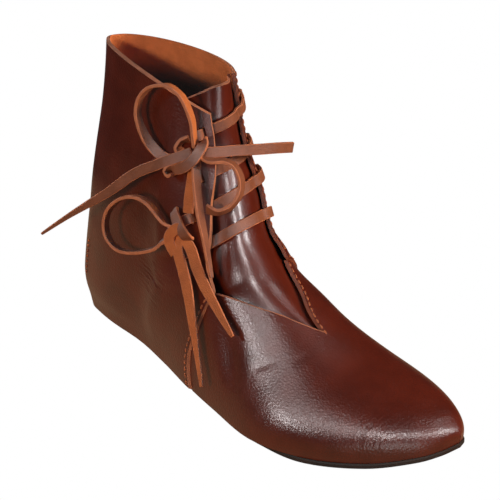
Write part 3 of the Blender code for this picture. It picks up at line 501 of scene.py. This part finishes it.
def quarter_pattern(side, falls, shares):
    """Points of half the quarter, not yet relaxed."""
    borders = quarter_borders(side, falls, shares)
    wrap = fill_patch(*(last_point(*border.T, side) for border in borders), falls, shares)
    swell = soft_step(*SWELL_RISE, falls) * soft_step(*SWELL_FOOT, falls)
    swell = HEEL_SWELL * swell[:, None] * soft_step(*SWELL_FRONT, shares)
    wrap[..., :2] += unit(wrap[..., :2] - HEEL_MIDDLE) * swell[..., None]
    places = fill_patch(*borders, falls, shares).reshape(-1, 2)
    last = last_point(*places.T, side).reshape(wrap.shape)
    return blend(wrap, last, soft_step(*FRONT_HOLD, shares)[None, :, None])


def quarter_hold(falls, shares):
    """How firmly each point of half the quarter is held to its pattern."""
    across = np.maximum(soft_step(*FRONT_HOLD, shares), soft_step(*BACK_HOLD, shares))
    hold = HOLD_LEAST + HOLD_FULL * np.maximum(across[None], soft_step(*SOLE_HOLD, falls)[:, None]) ** 2
    hold[[0, -1]] = hold[:, -1] = HOLD_BORDER
    return hold


def relax(points, hold):
    """Grid of points moved to the smoothest surface that keeps to its holds."""
    number = np.arange(hold.size).reshape(hold.shape)
    bends = [(number[:-2], number[1:-1], number[1:-1], number[2:]),
             (number[:, :-2], number[:, 1:-1], number[:, 1:-1], number[:, 2:]),
             (number[:-1, :-1], number[:-1, 1:], number[1:, :-1], number[1:, 1:])]
    system = np.diag(hold.ravel())
    signs = (1.0, -1.0, -1.0, 1.0)
    for corners in bends:
        signed = [(corner.ravel(), sign) for corner, sign in zip(corners, signs)]
        for first, first_sign in signed:
            for second, second_sign in signed:
                np.add.at(system, (first, second), first_sign * second_sign)
    wanted = hold.reshape(-1, 1) * points.reshape(-1, 3)
    return np.linalg.solve(system, wanted).reshape(points.shape)


def edge_share(side, stations):
    """Share across of the throat's edge at each station."""
    rows = [row[::-1] for row in THROAT_EDGES[side]]
    front = smooth_lookup(FRONT_EDGES[side], stations)
    return np.where(stations < rows[0][0], front, smooth_lookup(rows, stations))


def tongue_turns(stations, share):
    """Turn of the tongue's points, by station and share from the lateral edge."""
    near_tip = np.interp(stations, *NEAR_TIP)
    lateral = blend(TONGUE_MARGIN_LATERAL, TONGUE_TIP_MARGIN, near_tip)
    lateral = edge_share(LATERAL, stations) - 1 - lateral - TONGUE_MARGIN_TOP * np.interp(stations, *NEAR_TOP)
    medial = 1 - edge_share(MEDIAL, stations) + blend(TONGUE_MARGIN_MEDIAL, TONGUE_TIP_MARGIN, near_tip)
    return blend(lateral, medial, share)


def tongue_depth(stations, share):
    """Depth of the tongue's outer face under the last."""
    near_tip = np.interp(stations, *NEAR_TIP)
    flap, sewn = edge_share(LATERAL, stations) - 1, 1 - edge_share(MEDIAL, stations)
    part = (tongue_turns(stations, share) - flap) / np.maximum(sewn - flap, TONGUE_TIP_MARGIN)
    bulge = TONGUE_BULGE * soft_step(*BULGE_RISE, part) * soft_step(*BULGE_FALL, part)
    lateral = blend(TONGUE_DEPTH_LATERAL, TONGUE_DEPTH_TIP, near_tip)
    return blend(lateral, TONGUE_DEPTH_MEDIAL, share) - bulge * (1 - near_tip)


def sole_loop(margins, reach, height):
    """Loop of a sole's edge, lateral side first, moved out and up; it rises at the toe."""
    section = section_at(np.linspace(HEEL_STATION, TOE_STATION, SOLE_ROWS))
    lateral, medial = (np.stack([section["back_x"], section["back_y"] + side * section["edge_" + name]], -1)
                       for side, name in SIDE_NAMES.items())
    loop = np.vstack([lateral, medial[-2:0:-1]])
    along = np.roll(loop, -1, axis=0) - np.roll(loop, 1, axis=0)
    out = unit(np.stack([along[:, 1], -along[:, 0]], -1))
    loop = loop + out * (smooth_lookup(margins, loop[:, 0]) + reach)[:, None]
    edge = np.interp(loop[:, 0], section["back_x"], section["back_z"])
    return np.column_stack([loop, np.maximum(edge - SOLE_THICKNESS - FIT_GAP, 0.0) + height])


def slit_run(station, turn):
    """Turn over which a lace passes through a slit."""
    ends = last_frame([station, station], [turn - SLIT_STEP, turn + SLIT_STEP])[0]
    return SLIT_RUN * 2 * SLIT_STEP / np.linalg.norm(ends[1] - ends[0])


def bar_rows(slit):
    """Stations, turns and heights of one lace bar, from lateral to medial slit."""
    (lateral, start), (medial, end) = slit
    flap = smooth_lookup(FRONT_EDGES[LATERAL], lateral) - 1
    sewn = 1 - smooth_lookup(FRONT_EDGES[MEDIAL], medial)
    on_tongue = np.linspace(flap + TONGUE_PASS, sewn - TONGUE_PASS, TONGUE_PASS_ROWS)
    places = [(start + share * slit_run(lateral, start), height) for share, height in FLAP_PASS]
    places += [(turn, None) for turn in (flap + EDGE_PASS, *on_tongue)]
    places += [(sewn - EDGE_PASS, LACE_LIFT), (sewn + EDGE_PASS, LACE_CREST)]
    places += [(end + share * slit_run(medial, end), height) for share, height in SEWN_PASS]
    turns = np.array([turn for turn, height in places])
    stations = blend(lateral, medial, (turns - start) / (end - start))
    first, last = (tongue_turns(stations, share) for share in (0, 1))
    under = tongue_depth(stations, (turns - first) / (last - first))
    resting = LACE_THICKNESS / 2 + LACE_CLEARANCE - under
    heights = [rest if height is None else height for rest, (turn, height) in zip(resting, places)]
    return np.stack([stations, turns, heights], -1)


def relief(grid):
    """Height of the creases at each point of a grid."""
    points = grid.reshape(-1, 3)
    total = np.zeros(len(points))
    for depth, width, rows in CREASES:
        path = smooth_path(rows, CREASE_STEPS)
        gaps = np.linalg.norm(points[:, None] - path[None], axis=2)
        fade = np.sin(np.pi * (gaps.argmin(axis=1) + 0.5) / len(path))
        total -= depth * fade * np.exp(-(gaps.min(axis=1) / width) ** 2)
    return total.reshape(*grid.shape[:-1], 1)


def grid_normals(grid):
    """Outward direction at each point of a grid."""
    out = np.cross(np.gradient(grid, axis=0), np.gradient(grid, axis=1))
    return out / np.maximum(np.linalg.norm(out, axis=2, keepdims=True), LEAST_LENGTH)


def draw_back(grid):
    """Grid with its first row drawn back along the surface and the next rows spread out."""
    drawn = grid.copy()
    for column in range(grid.shape[1]):
        line = grid[:EDGE_ROWS + 1, column]
        lengths = run_lengths(line)
        places = blend(EDGE_SLANT, lengths[-1], lengths / lengths[-1])
        drawn[:EDGE_ROWS + 1, column] = resample(line, lengths, places)
    return drawn


def grid_faces(number):
    """Quads between the point numbers of a grid."""
    corners = (number[:-1, :-1], number[1:, :-1], number[1:, 1:], number[:-1, 1:])
    return np.stack([corner.ravel() for corner in corners], -1)


def tube_faces(rings, sides):
    """Quads between rings of points."""
    number = np.arange(rings * sides).reshape(rings, sides)
    return np.roll(grid_faces(np.hstack([number, number[:, :1]]))[:, ::-1], 1, axis=1)


class Parts:
    """Points, faces and material slots of one object."""

    def __init__(self):
        self.points, self.faces, self.slots = [], [], []

    def add(self, points, faces, slots=None):
        """Add a piece whose faces count from its own first point."""
        base = len(self.points)
        self.points.extend(np.reshape(points, (-1, 3)))
        self.faces.extend([[base + int(corner) for corner in face] for face in faces])
        self.slots.extend(slots or [OUTER] * len(faces))
        return self

    def shell(self, outer, inner, last_rim=RIM):
        """Add a wall between two grids; the last row's rim has a slot of its own."""
        rows, columns = outer.shape[:2]
        count = rows * columns
        number = np.arange(count).reshape(rows, columns)
        quads = grid_faces(number)
        ring = np.concatenate([number[:-1, 0], number[-1, :-1], number[:0:-1, -1], number[0, :0:-1]])
        after = np.roll(ring, -1)
        rim = np.stack([after, ring, ring + count, after + count], -1)
        rims = [RIM] * (rows - 1) + [last_rim] * (columns - 1) + [RIM] * (rows + columns - 2)
        slots = [OUTER] * len(quads) + [INNER] * len(quads) + rims
        return self.add([outer, inner], [*quads, *(quads[:, ::-1] + count), *rim], slots)

    def strip(self, path, out, width, thickness):
        """Add a flat strip with eased edges; its grain side looks out."""
        run = unit(np.gradient(path, axis=0))
        across = unit(np.cross(out, run))
        face = np.cross(run, across)
        half = np.broadcast_to(np.asarray(width) / 2, len(path))[:, None]
        wide = np.maximum(half - LACE_BEVEL, half * BEVEL_SHARE)
        thick = thickness / 2
        low = thick - LACE_BEVEL
        ring = ((-wide, -thick), (wide, -thick), (half, -low), (half, low),
                (wide, thick), (-wide, thick), (-half, low), (-half, -low))
        sides = [INNER, RIM, RIM, RIM, OUTER, RIM, RIM, RIM]
        points = np.stack([path + across * side + face * height for side, height in ring], 1)
        steps = len(path) - 1
        start = np.arange(len(ring))
        faces = [start[::-1], *tube_faces(len(path), len(ring)), start + len(ring) * steps]
        return self.add(points, faces, [RIM, *(sides * steps), RIM])

    def bead(self, centre, run, out, sizes):
        """Add a rounded stitch: half sizes along, across and off the leather."""
        tilts = np.linspace(0, np.pi, BEAD_RINGS + 1)
        turns = 2 * np.pi * np.arange(BEAD_SPOKES) / BEAD_SPOKES
        tilt, turn = np.meshgrid(tilts, turns, indexing="ij")
        round_shape = np.stack([-np.cos(tilt), np.sin(tilt) * np.cos(turn), np.sin(tilt) * np.sin(turn)], -1)
        points = centre + (round_shape * sizes) @ np.array((run, np.cross(out, run), out))
        return self.add(points, tube_faces(BEAD_RINGS + 1, BEAD_SPOKES))

    def make(self, name, materials):
        """Weld the points and make the object in the shared frame."""
        keys = np.round(np.array(self.points), WELD_DIGITS)
        places, welded = np.unique(keys, axis=0, return_inverse=True)
        welded = welded.ravel()
        faces, slots = [], []
        for face, slot in zip(self.faces, self.slots):
            corners = list(dict.fromkeys(int(welded[corner]) for corner in face))
            if len(corners) > 2:
                faces.append(corners)
                slots.append(slot)
        mesh = bpy.data.meshes.new(name)
        mesh.from_pydata([tuple(place) for place in (places + CENTRING) * MILLIMETRE], [], faces)
        for material in materials:
            mesh.materials.append(material)
        mesh.polygons.foreach_set("material_index", slots)
        finish_shading(mesh)
        made = bpy.data.objects.new(name, mesh)
        bpy.context.scene.collection.objects.link(made)
        return made


def finish_shading(mesh):
    """Smooth faces with crisp cut edges."""
    mesh.shade_smooth()
    mesh.set_sharp_from_angle(angle=math.radians(SHARP_ANGLE))
    mesh.update()


def quarter_surface():
    """Outer points of the quarter, lateral edge first, and its lift."""
    below = np.linspace(FLAP_SHARE, 1, SEAM_ROWS)[1:]
    falls = np.concatenate([np.linspace(0, FLAP_SHARE, FLAP_ROWS), below])
    shares = 1 - (1 - np.linspace(0, 1, QUARTER_COLUMNS)) ** FRONT_CROWDING
    lateral, medial = (quarter_pattern(side, falls, shares) for side in SIDE_NAMES)
    hold = quarter_hold(falls, shares)
    whole = relax(np.hstack([lateral[:, ::-1], medial[:, 1:]]), np.hstack([hold[:, ::-1], hold[:, 1:]]))
    share = smooth_path(np.concatenate([shares[::-1], shares[1:]])[:, None], QUARTER_STEPS)
    fall = smooth_path(falls[:, None], QUARTER_STEPS)
    near_seam = soft_step(FLAP_SHARE - SEAM_FADE, FLAP_SHARE, fall.T)
    lift = SEAM_STEP * soft_step(1 - SEAM_FALL, 1, share) * near_seam
    turned = smooth_path(whole, QUARTER_STEPS).transpose(1, 0, 2)
    return smooth_path(turned, QUARTER_STEPS), lift[..., None]


def vamp_surface():
    """Outer points of the vamp, and how deep its rear margin is tucked under the quarter."""
    halves, tucks = [], []
    seam = np.linspace(0, 1, VAMP_SEAM_COLUMNS)
    forward = np.linspace(0, 1, VAMP_ROWS)[:, None]
    for side, edge in THROAT_EDGES.items():
        corner = edge[0][0]
        throat = np.linspace(corner, 1, VAMP_THROAT_COLUMNS + 1)[1:]
        across = np.concatenate([seam * corner, throat])
        line = np.concatenate([smooth_lookup(SIDE_SEAM, seam) + SEAM_LAP, smooth_lookup(edge, throat)])
        tuck = np.concatenate([SEAM_TUCK * soft_step(*TUCK_FADE, seam), 0 * throat])
        stations = blend(line - tuck, TOE_STATION, forward)
        spread = blend(across, np.linspace(0, 1, len(across)), forward)
        points = last_point(stations.ravel(), spread.ravel(), side)
        halves.append(points.reshape(*stations.shape, 3))
        tucks.append(np.clip((line - stations) / SEAM_TUCK, 0, 1))
    surface, tuck = (np.hstack([lateral, medial[:, -2::-1]]) for lateral, medial in (halves, tucks))
    return surface, tuck[..., None]


def slant_quarter(outer):
    """Outer face drawn back from the collar, foot and flap edge, so that the cut shows."""
    turned = draw_back(outer.transpose(1, 0, 2))
    turned = draw_back(turned[::-1])[::-1]
    return draw_back(turned.transpose(1, 0, 2))


def wall_inside(outer, normals, thickness, surface):
    """Inner face of a wall, no lower than the surface that it is drawn on."""
    inner = outer - normals * thickness
    inner[..., 2] = np.maximum(inner[..., 2], surface[..., 2].min())
    return inner


def build_quarter():
    """Quarter as a leather wall with its lace slits, and its outer points and directions."""
    surface, lift = quarter_surface()
    normals = grid_normals(surface)
    outer = surface + normals * lift
    outer += normals * relief(outer)
    inner = wall_inside(outer, normals, WALL - SEAM_THINNING * lift / SEAM_STEP, surface)
    wall = Parts().shell(slant_quarter(outer), inner, SEWN_RIM)
    made = wall.make("quarter", (GRAIN, FLESH, CUT_EDGE, SEAM_EDGE))
    cut_slits(made)
    return made, (outer, normals)


def build_vamp():
    """Vamp as a leather wall, and its outer points and directions."""
    surface, tuck = vamp_surface()
    normals = grid_normals(surface)
    normals[-1] = normals[-2].mean(axis=0)
    outer = surface + normals * (relief(surface) - SEAM_SINK * tuck)
    inner = wall_inside(outer, normals, WALL * (1 - VAMP_SKIVE * tuck), surface)
    made = Parts().shell(draw_back(outer), inner).make("vamp", (GRAIN, FLESH, SEAM_EDGE))
    return made, (outer, normals)


def build_throat_edge(vamp):
    """Light cut edge that lines the vamp's side of the throat."""
    grid, normals = vamp
    throat = slice(VAMP_SEAM_COLUMNS - 1, VAMP_SEAM_COLUMNS + VAMP_THROAT_COLUMNS)
    line = draw_back(grid)[0, throat] + normals[0, throat] * THROAT_EDGE_LIFT
    edge = Parts().strip(line, normals[0, throat], THROAT_EDGE_SIZE, THROAT_EDGE_SIZE)
    return edge.make("throat_edge", (CUT_EDGE, CUT_EDGE, CUT_EDGE))


def cut_slits(made):
    """Cut the lace slits out of the quarter's mesh with boxes."""
    boxes = Parts()
    sizes = np.array(BOX_CORNERS) * (SLIT_DEPTH, SLIT_LENGTH, SLIT_WIDTH)
    for ends in np.array(SLITS):
        way = ends[1] - ends[0]
        step = way / way[1] * SLIT_STEP
        for place in ends:
            centre, out = (values[0] for values in last_frame(*place))
            ahead = last_frame(*(place + step))[0] - last_frame(*(place - step))[0]
            across = unit(np.cross(ahead[0], out))
            points = centre - out * WALL / 2 + sizes @ np.array((out, across, np.cross(out, across)))
            boxes.add(points, BOX_FACES)
    cutter = boxes.make("slit_cutter", (CUT_EDGE,))
    cut = made.modifiers.new("lace slits", "BOOLEAN")
    cut.operation = "DIFFERENCE"
    cut.solver = "EXACT"
    cut.object = cutter
    depsgraph = bpy.context.evaluated_depsgraph_get()
    mesh = bpy.data.meshes.new_from_object(made.evaluated_get(depsgraph))
    made.modifiers.clear()
    made.data = mesh
    finish_shading(mesh)
    bpy.data.objects.remove(cutter, do_unlink=True)


def build_tongue():
    """Leaf-shaped tongue that lies under the throat's edges."""
    stations = np.linspace(TONGUE_TOP, TONGUE_TIP, TONGUE_ROWS)
    rows, shares = np.meshgrid(stations, np.linspace(0, 1, TONGUE_COLUMNS), indexing="ij")
    turns = tongue_turns(rows, shares)
    fall = TONGUE_TOP_FALL * np.clip(-turns, 0, 1) ** TONGUE_TOP_CURVE
    rows = rows + np.interp(rows, *NEAR_TOP) * fall
    points, out = (values.reshape(*rows.shape, 3) for values in last_frame(rows.ravel(), turns.ravel()))
    surface = points - out * tongue_depth(rows, shares)[..., None]
    normals = grid_normals(surface)
    outer = surface + normals * relief(surface)
    wall = Parts().shell(draw_back(outer), outer - normals * TONGUE_THICKNESS)
    return wall.make("tongue_leather", (TONGUE_GRAIN, FLESH, CUT_EDGE))


def build_plate(name, margins, bottom, thickness, material):
    """Plate of the sole's outline with eased edges that follows the toe spring."""
    levels = ((-SOLE_ROUND, 0), (0, SOLE_ROUND), (0, thickness - SOLE_ROUND), (-SOLE_ROUND, thickness))
    loops = [sole_loop(margins, reach, bottom + level) for reach, level in levels]
    count = len(loops[0])
    row = np.arange(SOLE_ROWS - 1)
    across = np.stack([row, row + 1, (count - row - 1) % count, (count - row) % count], -1)
    faces = [*tube_faces(len(levels), count), *across[:, ::-1], *(across + (len(levels) - 1) * count)]
    return Parts().add(loops, faces).make(name, (material,))


def inset_line(grid, normals):
    """Points and outward directions of a line beside the first column of a grid."""
    lengths = [run_lengths(row) for row in grid]
    return [np.array([resample(row, along, STITCH_INSET) for row, along in zip(values, lengths)])
            for values in (grid, normals)]


def add_stitches(parts, points, normals, pitch, sizes):
    """Add one stitch at each even step along a line."""
    lengths = run_lengths(points)
    places = np.arange(pitch / 2, lengths[-1], pitch)
    centres = resample(points, lengths, places)
    outs = unit(resample(normals, lengths, places))
    runs = unit(np.gradient(centres, axis=0))
    for centre, run, out in zip(centres, runs, outs):
        out = out - run * (out @ run)
        parts.bead(centre + out * STITCH_LIFT, run, unit(out), sizes)


def build_stitches(quarter, vamp):
    """Thread of the side seams, the tongue's seam and the heel."""
    thread = Parts()
    seam_row = (FLAP_ROWS - 1) * QUARTER_STEPS
    middle = VAMP_SEAM_COLUMNS + VAMP_THROAT_COLUMNS - 1
    throat = slice(middle, middle + VAMP_THROAT_COLUMNS + 1)
    rows = [values.transpose(1, 0, 2) for values in quarter]
    edges = ([values[seam_row:] for values in rows],
             [values[seam_row:, ::-1] for values in rows],
             [values[:seam_row, ::-1] for values in rows],
             [values[:, throat].transpose(1, 0, 2) for values in vamp])
    for edge in edges:
        add_stitches(thread, *inset_line(*edge), STITCH_PITCH, STITCH_SIZES)
    grid, normals = quarter
    heel = np.argmin(np.linalg.norm(grid - np.array(HEEL_STITCH), axis=2).min(axis=1))
    heights = grid[heel, :, 2]
    low, high = HEEL_STITCH_RISE
    sewn = (heights > low) & (heights < high)
    add_stitches(thread, grid[heel, sewn], normals[heel, sewn], HEEL_STITCH_PITCH, HEEL_STITCH_SIZES)
    return thread.make("stitches", (THREAD,))


def bar_path(first, second):
    """Path and outward directions of a lace's two bars, joined inside the medial quarter."""
    out_rows, back_rows = bar_rows(first), bar_rows(second)[::-1]
    near, far = out_rows[-1], back_rows[0]
    middle = (near + far) / 2
    joint = ((near[0], INNER_SHARE, INNER_REACH), (middle[0], 0.0, 1.0), (far[0], INNER_SHARE, INNER_REACH))
    turn = [(blend(middle[0], station, share), middle[1] + INNER_TURN * reach, -INNER_DEPTH)
            for station, share, reach in joint]
    rows = smooth_path(np.vstack([out_rows, turn, back_rows]), LACE_STEPS)
    points, out = last_frame(rows[:, 0], rows[:, 1])
    return points + out * rows[:, 2:], out


def strip_frame(rows):
    """Path of a free strip and the directions that its grain side looks in."""
    table = smooth_path(rows, LACE_STEPS)
    path, twist = table[:, :3], np.radians(table[:, 3:])
    run = unit(np.gradient(path, axis=0))
    across = unit(np.cross(CORD_SIDE, run))
    return path, np.cross(run, across) * np.cos(twist) + across * np.sin(twist)


def knot_root(centre, row, reach):
    """Row that carries a strip on into its knot."""
    return (*blend(centre, np.array(row[:3]), reach), row[3])


def settle(made, slot, *nodes):
    """Fix a piece to the shoe and hide the solids it stands for; the finish given as slot is not used."""
    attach(made, "root")
    if nodes:
        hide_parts(*nodes)


def lace_piece(prefix, node, strips, width=LACE_WIDTH):
    """Piece of a lace: strips, each a path and its grain side's directions."""
    piece = Parts()
    for path, out in strips:
        piece.strip(path, out, width, LACE_THICKNESS)
    made = piece.make(node + "_leather", (LACE_GRAIN, LACE_FLESH, LACE_EDGE))
    settle(made, prefix, node)
    return made


def build_lace(prefix, first, second):
    """One lace: its bars, its knot and its free strips."""
    lace_piece(prefix, prefix + "_bars", [bar_path(first, second)])
    knot = lace_piece(prefix, prefix + "_knot", [strip_frame(rows) for rows in KNOT_WRAPS[prefix]])
    centre = np.array(KNOT_CENTRES[prefix])
    strips = {}
    for name in [name for name in CORDS if name.startswith(prefix)]:
        lace_end = "_end_" in name
        root = centre if lace_end else centre - CORD_SIDE * LOOP_TUCK
        reach = END_REACH if lace_end else LOOP_REACH
        rows = [knot_root(root, CORDS[name][0], reach), *CORDS[name]]
        if name in CORDS_BACK_TO_KNOT:
            rows.append(knot_root(root, rows[-1], reach))
        path, out = strip_frame(rows)
        near_end = np.clip(np.linspace(-1, 1, len(path)), 0, 1)
        width = LACE_WIDTH * blend(1, CORD_TAPERS.get(name, 1.0), near_end)
        strips[name] = lace_piece(prefix, name, [(path, out)], width)
        if name == SHORT_TAIL:
            continue
        extras = [knot] if name == prefix + KNOT_CORD else []
        extras += [strips[SHORT_TAIL]] if name == TAIL_CORD else []
        path = (path + CENTRING) * MILLIMETRE


def set_inputs(tree, node, inputs):
    """Give a shader node's inputs their values or links."""
    for name, value in inputs.items():
        if isinstance(value, bpy.types.NodeSocket):
            tree.links.new(value, node.inputs[name])
        else:
            node.inputs[name].default_value = value


def add_node(tree, kind, output, inputs, **settings):
    """Add a shader node with its settings and inputs, and give one of its outputs."""
    made = tree.nodes.new("ShaderNode" + kind)
    for name, value in settings.items():
        setattr(made, name, value)
    set_inputs(tree, made, inputs)
    return made.outputs[output]


def soft_range(tree, value, start, end, most=1.0):
    """Smooth rise from 0 to the most between two lengths in millimetres."""
    inputs = {"Value": value, "From Min": start * MILLIMETRE, "From Max": end * MILLIMETRE, "To Max": most}
    return add_node(tree, "MapRange", "Result", inputs, interpolation_type="SMOOTHSTEP")


def leather(name, dark, light, roughness, sheen, mottle, pore, depth, wrinkled=False, painted_shade_inside=False):
    """Leather with mottled colour, uneven gloss and pores; sizes are in millimetres."""
    material = bpy.data.materials.new(name)
    material.use_nodes = True
    tree = material.node_tree
    place = add_node(tree, "TexCoord", "Object", {})
    cloud = add_node(tree, "TexNoise", "Fac", {
        "Vector": place, "Scale": 1 / (mottle * MILLIMETRE), "Detail": MOTTLE_DETAIL,
        "Roughness": MOTTLE_ROUGHNESS})
    colour = add_node(tree, "ValToRGB", "Color", {"Fac": cloud})
    for stop, position, tint in zip(colour.node.color_ramp.elements, MOTTLE_RANGE, (dark, light)):
        stop.position = position
        stop.color = (*tint, 1)
    # Painted shade: the colour darkens with depth inside the shoe.
    if painted_shade_inside:
        colour = add_painted_shade(tree, place, colour)
    gloss = add_node(tree, "MapRange", "Result", {
        "Value": cloud, "To Min": roughness[0], "To Max": roughness[1]})
    pores = add_node(tree, "TexVoronoi", "Distance", {"Vector": place, "Scale": 1 / (pore * MILLIMETRE)})
    fine = add_node(tree, "TexNoise", "Fac", {
        "Vector": place, "Scale": FINE_PER_PORE / (pore * MILLIMETRE), "Detail": FINE_DETAIL})
    height = add_node(tree, "Math", "Value", {0: pores, 1: fine}, operation="ADD")
    if wrinkled:
        for wrinkle in WRINKLES:
            height = add_wrinkles(tree, place, height, *wrinkle)
    bump = add_node(tree, "Bump", "Normal", {"Height": height, "Distance": depth * MILLIMETRE})
    set_inputs(tree, tree.nodes["Principled BSDF"], {
        "Base Color": colour, "Roughness": gloss, "Specular IOR Level": sheen, "Normal": bump})
    return material


def add_painted_shade(tree, place, colour):
    """Colour that darkens with depth inside the shoe: painted shade of the deep inside."""
    unshaded_share = soft_range(tree, add_node(tree, "SeparateXYZ", "Z", {"Vector": place}), *PAINTED_SHADE_HEIGHTS)
    inputs = {MIX_SHARE: unshaded_share, MIX_FIRST: (*PAINTED_SHADE_TINT, 1), MIX_SECOND: colour}
    return add_node(tree, "Mix", MIX_COLOUR, inputs, data_type="RGBA")


def add_wrinkles(tree, place, height, middle, reach, rise, turn, sizes):
    """Height with fine wrinkles added round their middle."""
    middle = tuple((np.array(middle) + CENTRING) * MILLIMETRE)
    away = add_node(tree, "VectorMath", "Value", {0: place, 1: middle}, operation="DISTANCE")
    share = soft_range(tree, away, reach, 0.0, rise)
    turned = add_node(tree, "Mapping", "Vector", {
        "Vector": place, "Rotation": tuple(math.radians(angle) for angle in turn),
        "Scale": tuple(size * MILLIMETRE for size in sizes)}, vector_type="TEXTURE")
    folds = add_node(tree, "TexNoise", "Fac", {"Vector": turned, "Scale": 1.0, "Detail": FOLD_DETAIL})
    return add_node(tree, "Math", "Value", {0: folds, 1: share, 2: height}, operation="MULTIPLY_ADD")


# Materials: tones, least and most roughness, sheen, then size of mottling and pores, depth of pores
GRAIN = leather("grain", *GRAIN_TONES, (0.27, 0.37), 0.5, 22, 1.3, 0.1, wrinkled=True)
TONGUE_GRAIN = leather("tongue_grain", *GRAIN_TONES, (0.25, 0.33), 0.5, 22, 1.3, 0.04)
# The flesh side carries painted shade that darkens with depth inside the shoe.
FLESH = leather("flesh", (0.5, 0.125, 0.028), (0.66, 0.17, 0.044), (0.85, 0.95), 0.2, 9, 0.7, 0.25,
                painted_shade_inside=True)
CUT_EDGE = leather("cut_edge", (0.34, 0.098, 0.036), (0.46, 0.143, 0.058), (0.65, 0.8), 0.3, 6, 0.5, 0.15)
SEAM_EDGE = leather("seam_edge", (0.2, 0.038, 0.011), (0.3, 0.062, 0.02), (0.55, 0.7), 0.3, 6, 0.5, 0.15)
LACE_GRAIN = leather("lace_grain", (0.175, 0.044, 0.014), (0.26, 0.069, 0.023), (0.45, 0.6), 0.4, 9, 0.8, 0.1)
LACE_FLESH = leather("lace_flesh", (0.44, 0.102, 0.021), (0.57, 0.14, 0.032), (0.8, 0.95), 0.2, 6, 0.6, 0.2)
LACE_EDGE = leather("lace_edge", (0.42, 0.112, 0.036), (0.57, 0.158, 0.054), (0.6, 0.75), 0.3, 5, 0.5, 0.12)
SOLE = leather("sole", (0.014, 0.006, 0.003), (0.03, 0.014, 0.008), (0.7, 0.85), 0.2, 15, 0.9, 0.12)
INSOLE = leather("insole", (0.2, 0.055, 0.014), (0.29, 0.085, 0.025), (0.8, 0.9), 0.2, 12, 0.8, 0.2)
THREAD = leather("thread", (0.34, 0.08, 0.02), (0.46, 0.115, 0.032), (0.6, 0.75), 0.3, 2, 0.4, 0.15)


def glowing(name, tint, strength):
    """Plain material that only gives light."""
    material = bpy.data.materials.new(name)
    material.use_nodes = True
    tree = material.node_tree
    set_inputs(tree, tree.nodes["Principled BSDF"], {
        "Base Color": (0, 0, 0, 1), "Specular IOR Level": 0.0, "Emission Color": (*tint, 1),
        "Emission Strength": strength})
    return material


def stage_piece(name, points, faces, material):
    """Plain piece of the stage."""
    made = Parts().add(points, faces).make(name, (material,))
    return made


def build_sheet(name, size, depth, material):
    """Flat sheet under the shoe."""
    along, across = (extent / 2 / MILLIMETRE for extent in size)
    corners = ((-along, -across), (along, -across), (along, across), (-along, across))
    return stage_piece(name, [(x, y, -depth) for x, y in corners], [range(len(corners))], material)


def build_backdrop(material):
    """White wall round the floor."""
    turns = 2 * math.pi * np.arange(WALL_SIDES) / WALL_SIDES
    ring = np.stack([np.cos(turns), np.sin(turns)], -1) * WALL_RADIUS / MILLIMETRE
    levels = (-FLOOR_DEPTH, WALL_HEIGHT / MILLIMETRE)
    points = [(x, y, level) for level in levels for x, y in ring]
    return stage_piece("backdrop", points, tube_faces(len(levels), WALL_SIDES)[:, ::-1], material)


def build_stage():
    """White floor and wall for the camera alone, and a card that lights the shoe as a table would."""
    white = glowing("stage_white", (1, 1, 1), FLOOR_GLOW)
    floor = build_sheet("floor", (FLOOR_SIZE, FLOOR_SIZE), FLOOR_DEPTH, white)
    for made in (floor, build_backdrop(white)):
        made.visible_diffuse = made.visible_glossy = made.visible_shadow = False
    card = build_sheet("card", CARD_SIZE, CARD_DEPTH, glowing("card", CARD_TINT, CARD_GLOW))
    card.visible_camera = card.visible_shadow = False


def aim_at_shoe(made, azimuth, elevation, distance):
    """Put a lamp or the camera in the scene, turned to the shoe."""
    turn, rise = math.radians(azimuth), math.radians(elevation)
    back = Vector((math.cos(turn) * math.cos(rise), math.sin(turn) * math.cos(rise), math.sin(rise)))
    made.location = Vector((CAMERA_TARGET + CENTRING) * MILLIMETRE) + back * distance
    made.rotation_euler = back.to_track_quat("Z", "Y").to_euler()
    bpy.context.scene.collection.objects.link(made)


def build_lights():
    """Soft boxes round the shoe and a dim even surround."""
    for name, azimuth, elevation, distance, width, height, power, shines, mirrored in LIGHTS:
        light = bpy.data.lights.new(name, "AREA")
        light.shape = "RECTANGLE"
        light.size, light.size_y = width, height
        light.energy = power
        lamp = bpy.data.objects.new(name, light)
        lamp.visible_diffuse = shines
        lamp.visible_glossy = mirrored
        aim_at_shoe(lamp, azimuth, elevation, distance)
    scene = bpy.context.scene
    scene.world = bpy.data.worlds.new("surround")
    scene.world.use_nodes = True
    tree = scene.world.node_tree
    set_inputs(tree, tree.nodes["Background"], {"Color": (1, 1, 1, 1), "Strength": WORLD_STRENGTH})
    scene.view_settings.view_transform = "Standard"


def build_camera():
    """Camera at the photograph's angle."""
    lens = bpy.data.cameras.new("camera")
    lens.sensor_width = SENSOR
    lens.lens = LENS
    lens.shift_x, lens.shift_y = SHIFT
    camera = bpy.data.objects.new("camera", lens)
    aim_at_shoe(camera, AZIMUTH, ELEVATION, CAMERA_DISTANCE)
    bpy.context.scene.camera = camera


build_camera()
build_lights()
build_stage()
quarter, quarter_skin = build_quarter()
vamp, vamp_skin = build_vamp()
settle(quarter, "upper", "upper")
settle(vamp, "upper")
settle(build_throat_edge(vamp_skin), "upper")
settle(build_tongue(), "tongue", "tongue")
settle(build_stitches(quarter_skin, vamp_skin), "upper")
settle(build_plate("outsole_leather", OUTSOLE_MARGINS, 0.0, SOLE_THICKNESS, SOLE), "outsole", "outsole")
settle(build_plate("insole_leather", INSOLE_MARGINS, SOLE_THICKNESS + FIT_GAP, INSOLE_THICKNESS, INSOLE),
       "insole", "insole")
build_lace("upper_lace", SLITS[0], SLITS[1])
build_lace("lower_lace", SLITS[2], SLITS[3])
